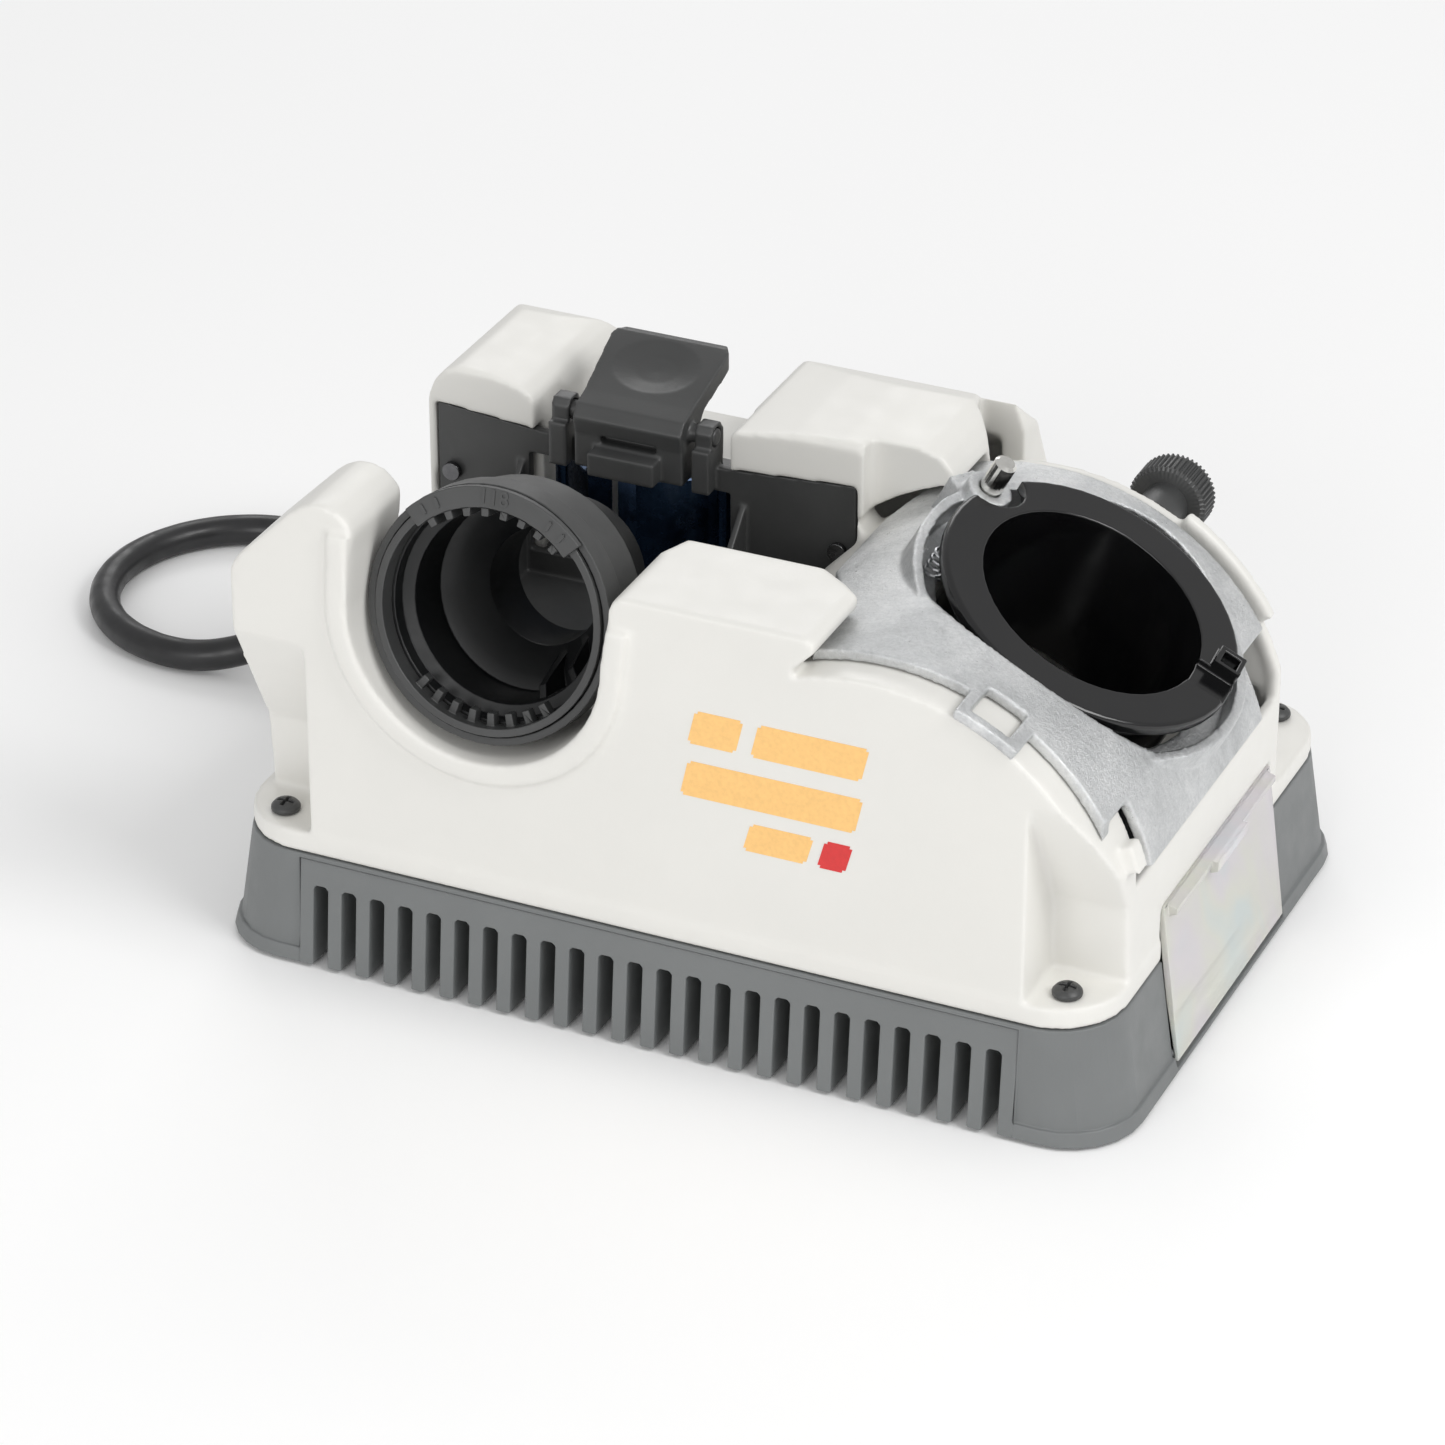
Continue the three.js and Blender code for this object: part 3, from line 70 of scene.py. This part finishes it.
class Nodes:
    """A material's node tree, built in short calls."""

    def __init__(self, name):
        self.material = bpy.data.materials.new(name)
        self.material.use_nodes = True
        self.tree = self.material.node_tree
        self.shader = self.tree.nodes["Principled BSDF"]
        self.place = self.tree.nodes.new("ShaderNodeTexCoord").outputs["Object"]

    def new(self, kind, **values):
        node = self.tree.nodes.new("ShaderNode" + kind)
        for key, value in values.items():
            if key in node.inputs:
                node.inputs[key].default_value = value
            else:
                setattr(node, key, value)
        return node

    def link(self, a, b):
        self.tree.links.new(a, b)

    def stretched(self, scale, angle=(0, 0, 0)):
        mapping = self.new("Mapping")
        mapping.inputs["Scale"].default_value = scale
        mapping.inputs["Rotation"].default_value = angle
        self.link(self.place, mapping.inputs["Vector"])
        return mapping.outputs["Vector"]

    def noise(self, scale, detail=4.0, rough=0.5, place=None, distortion=0.0):
        node = self.new("TexNoise", Scale=scale, Detail=detail, Roughness=rough, Distortion=distortion)
        self.link(place or self.place, node.inputs["Vector"])
        return node.outputs["Fac"]

    def ramp(self, fac, stops):
        node = self.new("ValToRGB")
        ramp = node.color_ramp
        while len(ramp.elements) < len(stops):
            ramp.elements.new(0.5)
        for element, (position, colour) in zip(ramp.elements, stops):
            element.position = position
            element.color = (*colour, 1.0) if len(colour) == 3 else colour
        self.link(fac, node.inputs["Fac"])
        return node.outputs["Color"]

    def spread(self, fac, low, high, a=0.3, b=0.7):
        node = self.new("MapRange")
        for key, value in (("From Min", a), ("From Max", b), ("To Min", low), ("To Max", high)):
            node.inputs[key].default_value = value
        self.link(fac, node.inputs["Value"])
        return node.outputs["Result"]

    def bump(self, heights):
        """Stacks (height, distance in metres, strength) onto the normal."""
        last = None
        for height, distance, strength in heights:
            node = self.new("Bump")
            node.inputs["Distance"].default_value = distance
            node.inputs["Strength"].default_value = strength
            self.link(height, node.inputs["Height"])
            if last:
                self.link(last, node.inputs["Normal"])
            last = node.outputs["Normal"]
        self.link(last, self.shader.inputs["Normal"])

    def set(self, **values):
        names = {"metallic": "Metallic", "roughness": "Roughness", "ior": "IOR",
                 "specular": "Specular IOR Level", "transmission": "Transmission Weight"}
        for key, value in values.items():
            self.shader.inputs[names[key]].default_value = value


def scaled(colour, factor):
    return tuple(min(1.0, c * factor) for c in colour)


def moulded(name, colour, rough, grain=0.000045, grain_scale=1500.0, vary=0.06, blotch=28.0, specular=0.5):
    """Injection-moulded plastic: fine spark texture, faint flow blotches, uneven gloss."""
    m = Nodes(name)
    wide = m.noise(blotch, 3.0)
    m.link(m.ramp(wide, [(0.3, scaled(colour, 1 - vary)), (0.7, scaled(colour, 1 + vary))]),
           m.shader.inputs["Base Color"])
    m.link(m.spread(m.noise(140.0, 5.0), rough - 0.06, rough + 0.06), m.shader.inputs["Roughness"])
    m.bump([(m.noise(grain_scale, 3.0, 0.65), grain, 0.5), (m.noise(55.0, 2.0), 0.0001, 0.15)])
    m.set(specular=specular)
    return m.material


def cast_zinc():
    """Die-cast zinc: fine crystalline skin, faint clouds, small pits, soft bright sheen."""
    m = Nodes("cast_zinc")
    cloud = m.noise(60.0, 5.0, 0.6, distortion=0.6)
    fleck = m.noise(900.0, 6.0, 0.75, distortion=0.5)
    mixed = m.new("Math", operation="MULTIPLY_ADD")
    mixed.inputs[1].default_value = 0.45
    m.link(fleck, mixed.inputs[0])
    m.link(m.spread(cloud, 0.15, 0.40), mixed.inputs[2])
    m.link(m.ramp(mixed.outputs[0], [(0.28, (0.44, 0.45, 0.455)), (0.5, (0.64, 0.65, 0.655)),
                                     (0.72, (0.86, 0.865, 0.865))]),
           m.shader.inputs["Base Color"])
    m.link(m.spread(m.noise(520.0, 6.0, 0.7), 0.26, 0.50), m.shader.inputs["Roughness"])
    m.bump([(m.noise(110.0, 4.0, 0.55), 0.0004, 0.25), (fleck, 0.00034, 0.9),
            (m.noise(1700.0, 4.0, 0.75), 0.00012, 0.8)])
    m.set(metallic=0.92)
    return m.material


def worn_metal(name, colour, rough, stretch=(1, 1, 1), scale=300.0, vary=0.14, depth=0.00004):
    m = Nodes(name)
    place = m.stretched(stretch)
    streak = m.noise(scale, 6.0, 0.6, place)
    m.link(m.ramp(streak, [(0.3, scaled(colour, 1 - vary)), (0.7, scaled(colour, 1 + vary))]),
           m.shader.inputs["Base Color"])
    m.link(m.spread(m.noise(scale * 0.5, 4.0, 0.6, place), rough - 0.08, rough + 0.1),
           m.shader.inputs["Roughness"])
    m.bump([(streak, depth, 0.4)])
    m.set(metallic=1.0)
    return m.material


def blued_steel():
    m = Nodes("blued_steel")
    band = m.noise(60.0, 4.0, 0.6, m.stretched((1, 1, 0.25)), 0.6)
    m.link(m.ramp(band, [(0.3, (0.012, 0.022, 0.045)), (0.55, (0.03, 0.06, 0.12)),
                         (0.75, (0.10, 0.15, 0.24))]),
           m.shader.inputs["Base Color"])
    m.link(m.spread(m.noise(300.0), 0.18, 0.34), m.shader.inputs["Roughness"])
    m.bump([(m.noise(500.0, 4.0, 0.6, m.stretched((1, 1, 6))), 0.00002, 0.3)])
    m.set(metallic=1.0)
    return m.material


def gloss_black():
    m = Nodes("gloss_black")
    m.link(m.ramp(m.noise(40.0, 3.0), [(0.3, (0.0035, 0.0035, 0.004)), (0.7, (0.0065, 0.0065, 0.007))]),
           m.shader.inputs["Base Color"])
    m.link(m.spread(m.noise(90.0, 5.0), 0.13, 0.24), m.shader.inputs["Roughness"])
    m.bump([(m.noise(260.0, 3.0), 0.00002, 0.25), (m.noise(30.0, 2.0), 0.0002, 0.08)])
    m.set(specular=0.6)
    return m.material


def funnel_plastic_with_painted_bore_shade():
    """Moulded black, with painted shade: the colour is darkened inside the bore and left as plain black on
    the neck.
    """
    m = Nodes("funnel_plastic_with_painted_bore_shade")
    # Painted shade: the colour turns near black within about 29-31 mm of the port's axis. It stands in for
    # the shadow inside the bore.
    inward = m.new("Mapping")
    inward.inputs["Rotation"].default_value = PORT.inverted().to_euler()
    inward.inputs["Location"].default_value = PORT.inverted().to_translation()
    m.link(m.place, inward.inputs["Vector"])
    flat = m.new("VectorMath", operation="MULTIPLY")
    flat.inputs[1].default_value = (1.0, 1.0, 0.0)
    m.link(inward.outputs["Vector"], flat.inputs[0])
    radius = m.new("VectorMath", operation="LENGTH")
    m.link(flat.outputs["Vector"], radius.inputs[0])
    shade_edge_radius = m.new("Math", operation="MULTIPLY_ADD")
    shade_edge_radius.inputs[1].default_value = 0.0012
    m.link(m.noise(160.0, 3.0), shade_edge_radius.inputs[0])
    m.link(radius.outputs["Value"], shade_edge_radius.inputs[2])
    # The ramp's dark end is painted shade for the bore; its light end is the plastic's own black on the
    # neck.
    m.link(m.ramp(m.spread(shade_edge_radius.outputs[0], 0.0, 1.0, 0.0290, 0.0312),
                  [(0.1, (0.004, 0.0045, 0.005)), (0.9, (0.046, 0.047, 0.047))]),
           m.shader.inputs["Base Color"])
    m.link(m.spread(m.noise(140.0, 5.0), 0.38, 0.5), m.shader.inputs["Roughness"])
    m.bump([(m.noise(1500.0, 3.0, 0.65), 0.00004, 0.5), (m.noise(70.0, 2.0), 0.0001, 0.15)])
    return m.material


def rubber(name, colour=(0.018, 0.018, 0.019), rough=0.5):
    m = Nodes(name)
    m.link(m.ramp(m.noise(120.0, 5.0), [(0.3, scaled(colour, 0.75)), (0.7, scaled(colour, 1.35))]),
           m.shader.inputs["Base Color"])
    m.link(m.spread(m.noise(200.0, 4.0), rough - 0.1, rough + 0.1), m.shader.inputs["Roughness"])
    m.bump([(m.noise(2200.0, 2.0), 0.00003, 0.5)])
    return m.material


def clear_plastic():
    """Clear moulded sheet with a faint haze and stress colours."""
    m = Nodes("clear_plastic")
    stress = m.noise(22.0, 2.0, 0.5, m.stretched((1, 1, 0.6)), 1.5)
    m.link(m.ramp(stress, [(0.30, (0.86, 0.90, 0.93)), (0.45, (0.93, 0.89, 0.92)),
                           (0.58, (0.94, 0.94, 0.86)), (0.72, (0.86, 0.93, 0.92))]),
           m.shader.inputs["Base Color"])
    m.link(m.spread(m.noise(150.0, 4.0), 0.03, 0.12), m.shader.inputs["Roughness"])
    m.bump([(m.noise(60.0, 3.0), 0.0001, 0.10)])
    m.set(transmission=0.5, ior=1.3, specular=0.6)
    return m.material


def winding():
    m = Nodes("winding")
    wave = m.new("TexWave", Scale=500.0, Distortion=0.6)
    m.link(m.place, wave.inputs["Vector"])
    m.link(m.ramp(wave.outputs["Fac"], [(0.2, (0.18, 0.06, 0.02)), (0.8, (0.62, 0.27, 0.12))]),
           m.shader.inputs["Base Color"])
    m.bump([(wave.outputs["Fac"], 0.0001, 0.6)])
    m.set(metallic=0.8, roughness=0.4)
    return m.material


def abrasive():
    m = Nodes("abrasive")
    grit = m.new("TexVoronoi", Scale=1600.0)
    m.link(m.place, grit.inputs["Vector"])
    m.link(m.ramp(grit.outputs["Distance"], [(0.1, (0.30, 0.29, 0.25)), (0.6, (0.10, 0.10, 0.095))]),
           m.shader.inputs["Base Color"])
    m.bump([(grit.outputs["Distance"], 0.0002, 0.8)])
    m.set(metallic=0.35, roughness=0.7)
    return m.material


HOUSING = moulded("housing_plastic", (0.755, 0.745, 0.71), 0.42, vary=0.014)
BASE = moulded("base_plastic", (0.168, 0.176, 0.177), 0.48, grain=0.00008, grain_scale=1300.0, vary=0.05)
BLACK = moulded("black_plastic", (0.046, 0.047, 0.047), 0.42, vary=0.16, specular=0.6)
GLOSS = gloss_black()
FUNNEL_WITH_PAINTED_SHADE = funnel_plastic_with_painted_bore_shade()
RUBBER = rubber("rubber")
CORD_SKIN = rubber("cord_skin", (0.014, 0.014, 0.015), 0.38)
ZINC = cast_zinc()
STEEL = worn_metal("steel", (0.50, 0.51, 0.52), 0.34, (1, 1, 8))
NICKEL = worn_metal("nickel", (0.74, 0.73, 0.70), 0.16, vary=0.06)
BLUED = blued_steel()
DARK_STEEL = worn_metal("dark_steel", (0.13, 0.13, 0.135), 0.24, vary=0.2)
CLEAR = clear_plastic()
MATERIAL_OF = {
    "housing": HOUSING, "base": BASE, "black_plastic": BLACK, "gloss_black": GLOSS, "rubber": RUBBER,
    "zinc": ZINC, "steel": STEEL, "nickel": NICKEL, "blue_steel": BLUED, "clear": CLEAR,
    "winding": winding(), "abrasive": abrasive(),
}


# ---- piece making -------------------------------------------------------------

SHARP = math.radians(33.0)      # edges that fold by more than this are rounded off
SHORTEST_EDGE = 1.2             # times the rounding's width; shorter edges stay as they are


def paint(obj, material):
    obj.data.materials.clear()
    obj.data.materials.append(material)


def as_piece(name, mesh, body, material):
    obj = bpy.data.objects.new(name, mesh)
    bpy.context.scene.collection.objects.link(obj)
    paint(obj, material)
    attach(obj, body)
    return obj


def smooth(mesh, angle=32.0):
    for polygon in mesh.polygons:
        polygon.use_smooth = True
    mesh.set_sharp_from_angle(angle=math.radians(angle))


def weighted(obj):
    modifier = obj.modifiers.new("normals", "WEIGHTED_NORMAL")
    modifier.mode = "FACE_AREA"
    modifier.keep_sharp = True
    modifier.weight = 80


def tidy(mesh):
    """Large flat faces in place of the frame's triangles."""
    bm = bmesh.new()
    bm.from_mesh(mesh)
    bmesh.ops.remove_doubles(bm, verts=bm.verts, dist=0.00003)
    bmesh.ops.dissolve_degenerate(bm, edges=bm.edges, dist=0.00002)
    bmesh.ops.dissolve_limit(bm, angle_limit=math.radians(0.6), verts=bm.verts, edges=bm.edges)
    return bm


def skin(node, width, segments, material=None):
    """A piece with the node's shape and its edges rounded off; it stands for the node."""
    mesh = NODES[node].data.copy()
    mesh.materials.clear()
    bm = tidy(mesh)
    edges = [e for e in bm.edges if len(e.link_faces) == 2 and e.calc_face_angle(0) > SHARP
             and e.calc_length() > SHORTEST_EDGE * width * MM]
    bmesh.ops.bevel(bm, geom=edges, offset=width * MM, offset_type="OFFSET", segments=segments,
                    profile=0.5, affect="EDGES", clamp_overlap=False, loop_slide=True)
    bm.to_mesh(mesh)
    bm.free()
    smooth(mesh, 38.0)
    slot = SLOT_OF[node]
    obj = as_piece(node + "_skin", mesh, BODY_OF[node], material or MATERIAL_OF[slot])
    weighted(obj)
    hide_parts(node)
    return obj


def softened(node, voxel, rounds, faces):
    """A piece with the node's shape whose corners are blended, as in a casting or a moulding."""
    mesh = NODES[node].data.copy()
    mesh.materials.clear()
    slot = SLOT_OF[node]
    obj = as_piece(node + "_skin", mesh, BODY_OF[node], MATERIAL_OF[slot])
    remesh = obj.modifiers.new("remesh", "REMESH")
    remesh.mode = "VOXEL"
    remesh.voxel_size = voxel * MM
    remesh.use_smooth_shade = True
    relax = obj.modifiers.new("relax", "SMOOTH")
    relax.factor = 0.5
    relax.iterations = rounds
    thin = obj.modifiers.new("thin", "DECIMATE")
    thin.ratio = faces
    bpy.context.view_layer.update()
    made = bpy.data.meshes.new_from_object(obj.evaluated_get(bpy.context.evaluated_depsgraph_get()))
    obj.modifiers.clear()
    obj.data = made
    paint(obj, MATERIAL_OF[slot])
    smooth(made, 60.0)
    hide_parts(node)
    return obj


def mesh_from(name, verts, faces):
    mesh = bpy.data.meshes.new(name)
    mesh.from_pydata([tuple(v) for v in verts], [], faces)
    mesh.update()
    return mesh


# ---- mains lead -------------------------------------------------------------

CORD_R = 4.5
LIE = CORD_R + 0.1              # height of the lead's middle where it lies on the bench
COIL = Vector((-40.0, 159.5, 0.0))
COIL_R = 53.5
TURNS = 4
TURN_STEPS = 18
LEAD_LOOP = Vector((-207.5, 78.0, 0.0))
LOOP_R = 39.5
LOOP_STEPS = 12
LEAD = [
    (-157.3, 50, 15), (-163, 50, 14.9), (-171, 49.4, 13.6), (-178.5, 47.4, 11.6),
    (-185, 44.4, 8.9), (-192, 41.3, 6.7), (-199.7, 39.2, 5.2),
]
for step in range(LOOP_STEPS + 1):
    turn = math.pi * (1.5 - step / LOOP_STEPS)
    LEAD.append((LEAD_LOOP.x + LOOP_R * math.cos(turn), LEAD_LOOP.y + LOOP_R * math.sin(turn), LIE))
LEAD += [
    (-192, 118, LIE), (-176, 118, LIE), (-159, 117, LIE), (-141, 114.4, LIE), (-123, 110, LIE),
    (-106, 105.4, LIE), (-90, 102.2, LIE), (-73, 101.5, LIE), (-56, 101.5, LIE),
]
TAIL = [(-28, 101.5, 13.7), (-16, 101.5, 13.6), (-7, 101.5, 13.4), (4, 101.5, 12.7), (14, 101.5, 11.6),
        (24, 101.5, 10.5), (34.6, 101.5, 9.8)]


def ease(t):
    t = max(0.0, min(1.0, t))
    return t * t * (3 - 2 * t)


def coil_point(degrees):
    """Four turns, two side by side and two on top; angle 0 is nearest the machine."""
    r = COIL_R - CORD_R * (2 * ease((degrees - 250) / 110) - 1) + 2 * CORD_R * ease((degrees - 1090) / 110)
    z = LIE + 2 * CORD_R * ease((degrees - 545) / 155)
    angle = math.radians(degrees)
    return (COIL.x + r * math.sin(angle), COIL.y - r * math.cos(angle), z)


route = list(LEAD)
for step in range(TURNS * TURN_STEPS + 1):
    route.append(coil_point(step * 360.0 / TURN_STEPS))
route += TAIL

cord_curve = bpy.data.curves.new("mains_lead", "CURVE")
cord_curve.dimensions = "3D"
cord_curve.resolution_u = 6
cord_curve.bevel_depth = CORD_R * MM
cord_curve.bevel_resolution = 6
cord_curve.use_fill_caps = True
spline = cord_curve.splines.new("BEZIER")
spline.bezier_points.add(len(route) - 1)
for point, place in zip(spline.bezier_points, route):
    point.co = Vector(place) * MM
    point.handle_left_type = point.handle_right_type = "AUTO"
cord_curve.materials.append(CORD_SKIN)
lead = bpy.data.objects.new("mains_lead", cord_curve)
bpy.context.scene.collection.objects.link(lead)
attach(lead, "machine")
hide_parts("cord_lead", "cord_coil", "cord_tail")

plug = skin("plug_body", 1.4, 3)
prongs = [skin(name, 0.25, 2) for name in ("plug_blade_left", "plug_blade_right", "plug_ground_pin")]
relief = skin("strain_relief", 0.5, 2)


def strap():
    """Hook-and-loop tie round the coil."""
    x, y = COIL.x + COIL_R, COIL.y
    outline = [(-11.2, 3), (-9.4, 0.05), (9.4, 0.05), (11.2, 3),
               (11.2, 15.5), (9.2, 19.2), (-9.2, 19.2), (-11.2, 15.5)]
    inner = [(a * 0.925, 0.06 if b < 1 else 9 + (b - 9) * 0.91) for a, b in outline]
    verts, faces = [], []
    for w in (-5.0, 5.0):
        for ring in (outline, inner):
            verts += [Vector((x + a, y + w, b)) * MM for a, b in ring]
    n = len(outline)
    for i in range(n):
        j = (i + 1) % n
        a, b, c, d = i, j, n + j, n + i
        faces += [(a, d, c, b), (2 * n + a, 2 * n + b, 2 * n + c, 2 * n + d), (a, b, 2 * n + b, 2 * n + a),
                  (d, 2 * n + d, 2 * n + c, c)]
    mesh = mesh_from("coil_tie", verts, faces)
    bm = bmesh.new()
    bm.from_mesh(mesh)
    bmesh.ops.recalc_face_normals(bm, faces=bm.faces)
    bm.to_mesh(mesh)
    bm.free()
    smooth(mesh, 50)
    return as_piece("coil_tie", mesh, "machine", rubber("tie_weave", (0.03, 0.03, 0.032), 0.8))


tie = strap()

# ---- plastic and metal pieces --------------------------------------------------

KNURL = 0.3

softened("top_housing", 0.8, 9, 0.3)
skin("base_tub", 0.45, 2)
softened("saddle_casting", 0.55, 3, 0.4)
skin("sharpening_tube", 0.5, 3)
# Its material paints shade inside the bore.
skin("alignment_tube", 0.35, 2, material=FUNNEL_WITH_PAINTED_SHADE)
skin("angle_collar", 0.3, 2)
softened("alignment_bracket", 0.45, 2, 0.4)
softened("release_lever", 0.42, 6, 0.4)
skin("debris_door", 0.3, 2)
skin("switch_frame", 0.4, 2)
skin("switch_rocker", 0.4, 2)
for name in NODES:
    if name.startswith(("case_screw", "foot_")):
        skin(name, 0.25, 2)
    elif name.startswith("bracket_rivet"):
        skin(name, 0.25, 2, material=DARK_STEEL)


def knurled_knob():
    """Lock knob: fine straight knurling, a long narrow neck and a dished end."""
    low, high = (Vector(corner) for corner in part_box("lock_knob"))
    x, z = (low.x + high.x) / 2, (low.z + high.z) / 2
    sides = 192
    rows = [(2.6, 0.0), (6.2, 0.0), (6.2, 10.9), (9.4, 11.3), (10.3, 12.1),
            (10.3, 19.8), (9.4, 20.6), (7.6, 20.8), (7.2, 19.8), (2.6, 19.7)]
    verts, faces = [], []
    for r, along in rows:
        for i in range(sides):
            ridge = KNURL * (1 if i % 4 in (0, 1) else -1) if r > 10 else 0.0
            angle = 2 * math.pi * i / sides
            verts.append((x + (r + ridge) * MM * math.cos(angle), low.y + along * MM,
                          z + (r + ridge) * MM * math.sin(angle)))
    for row in range(len(rows)):
        for i in range(sides):
            a, b = row * sides + i, row * sides + (i + 1) % sides
            over = (row + 1) % len(rows) * sides
            faces.append((a, b, over + (i + 1) % sides, over + i))
    mesh = mesh_from("lock_knob_skin", verts, faces)
    smooth(mesh, 30)
    knob = as_piece("lock_knob_skin", mesh, BODY_OF["lock_knob"], BLACK)
    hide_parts("lock_knob")
    return knob


# ---- marks: plain bars on the front, a number and ticks on the angle collar ------

FRONT_Y = -84.8                 # the housing's front wall
DIAL_LIFT = 2.6                 # the angle collar's face above the port's rim


def ink(name, colour):
    m = Nodes(name)
    m.link(m.ramp(m.noise(900.0, 4.0), [(0.3, scaled(colour, 0.94)), (0.7, scaled(colour, 1.04))]),
           m.shader.inputs["Base Color"])
    m.link(m.spread(m.noise(700.0, 3.0), 0.35, 0.5), m.shader.inputs["Roughness"])
    m.bump([(m.noise(1500.0, 3.0, 0.65), 0.00003, 0.4)])
    return m.material


def rounded_slab(name, outline, lift, thick, place, body, material, corner=0.8):
    """Thin plate with rounded corners; outline in the plane's own two axes, in mm."""
    bm = bmesh.new()
    ring = [bm.verts.new((a * MM, b * MM, lift * MM)) for a, b in outline]
    bm.faces.new(ring)
    bmesh.ops.bevel(bm, geom=list(bm.verts), offset=corner * MM, segments=4, affect="VERTICES")
    made = bmesh.ops.extrude_face_region(bm, geom=bm.faces[:])
    bmesh.ops.translate(bm, verts=[v for v in made["geom"] if isinstance(v, bmesh.types.BMVert)],
                        vec=(0, 0, thick * MM))
    bmesh.ops.recalc_face_normals(bm, faces=bm.faces)
    bmesh.ops.transform(bm, matrix=place, verts=bm.verts)
    mesh = bpy.data.meshes.new(name)
    bm.to_mesh(mesh)
    bm.free()
    smooth(mesh, 35)
    return as_piece(name, mesh, body, material)


def slanted_bar(left, right, low, high, slant):
    return [(left, low), (right, low), (right + slant, high), (left + slant, high)]


def front_marks():
    orange, red = ink("orange_ink", (0.93, 0.56, 0.20)), ink("red_ink", (0.66, 0.03, 0.03))
    wall = Matrix.Translation((0, FRONT_Y * MM, 0)) @ Matrix.Rotation(math.radians(90), 4, "X")
    bars = [("bar_short", 10, 23, 91, 100.5, orange), ("bar_top", 27, 56.5, 91, 100.5, orange),
            ("bar_middle", 8, 55, 76, 86, orange), ("bar_low", 25, 42, 64, 72, orange),
            ("bar_red", 45, 52.5, 64, 72, red)]
    for name, left, right, low, high, colour in bars:
        rounded_slab("front_" + name, slanted_bar(left, right, low, high, 2.2), -0.1, 0.22, wall,
                     "machine", colour)


def dial_marks():
    curve = bpy.data.curves.new("dial_number", "FONT")
    curve.body = "118"
    curve.size = 5.6 * MM
    curve.extrude = 0.14 * MM
    curve.offset = 0.08 * MM
    curve.align_x = "CENTER"
    curve.align_y = "CENTER"
    text = bpy.data.objects.new("dial_text", curve)
    bpy.context.scene.collection.objects.link(text)
    bpy.context.view_layer.update()
    mesh = bpy.data.meshes.new_from_object(text.evaluated_get(bpy.context.evaluated_depsgraph_get()))
    bpy.data.objects.remove(text)
    mesh.transform(PORT @ Matrix.Translation((0, 30.9 * MM, (DIAL_LIFT + 0.1) * MM)))
    as_piece("dial_number", mesh, "collar", BLACK)
    tick = [(-0.5, 29.4), (0.5, 29.4), (0.5, 32.4), (-0.5, 32.4)]
    for i, angle in enumerate((-38, -30, 30, 38)):
        turn = PORT @ Matrix.Rotation(math.radians(angle), 4, "Z")
        rounded_slab("dial_tick_%d" % i, tick, DIAL_LIFT - 0.1, 0.45, turn, "collar",
                     BLACK, 0.3)


knurled_knob()
front_marks()
dial_marks()

for name, node in NODES.items():
    paint(node, MATERIAL_OF[SLOT_OF[name]])
    smooth(node.data, 32.0)

# ---- floor and light ----------------------------------------------------------

floor_mesh = mesh_from("floor", [(-6, -6, 0), (6, -6, 0), (6, 9, 0), (-6, 9, 0)], [(0, 1, 2, 3)])
floor = bpy.data.objects.new("floor", floor_mesh)
bpy.context.scene.collection.objects.link(floor)
paper = Nodes("floor_paper")
paper.link(paper.ramp(paper.noise(2.0, 2.0), [(0.3, (0.955, 0.955, 0.955)), (0.7, (0.97, 0.97, 0.97))]),
           paper.shader.inputs["Base Color"])
paper.set(roughness=0.9, specular=0.1)
floor_mesh.materials.append(paper.material)

world = bpy.data.worlds.new("studio")
bpy.context.scene.world = world
world.use_nodes = True
world.node_tree.nodes["Background"].inputs["Color"].default_value = (1.0, 1.0, 1.0, 1.0)
world.node_tree.nodes["Background"].inputs["Strength"].default_value = 0.56


def area_light(name, place, target, size, power):
    data = bpy.data.lights.new(name, "AREA")
    data.shape = "RECTANGLE"
    data.size, data.size_y = size
    data.energy = power
    light = bpy.data.objects.new(name, data)
    light.location = place
    light.rotation_euler = (Vector(target) - Vector(place)).to_track_quat("-Z", "Y").to_euler()
    bpy.context.scene.collection.objects.link(light)


area_light("key", (1.2, -0.25, 1.25), (0, 0, 0.05), (0.8, 0.8), 13.5)
area_light("fill", (-0.1, -1.9, 0.8), (0, 0, 0.06), (1.4, 0.9), 12)
area_light("rim", (-0.6, 1.3, 1.0), (0, 0, 0.05), (0.9, 0.5), 4)

scene = bpy.context.scene
scene.view_settings.view_transform = "Standard"
scene.view_settings.look = "None"
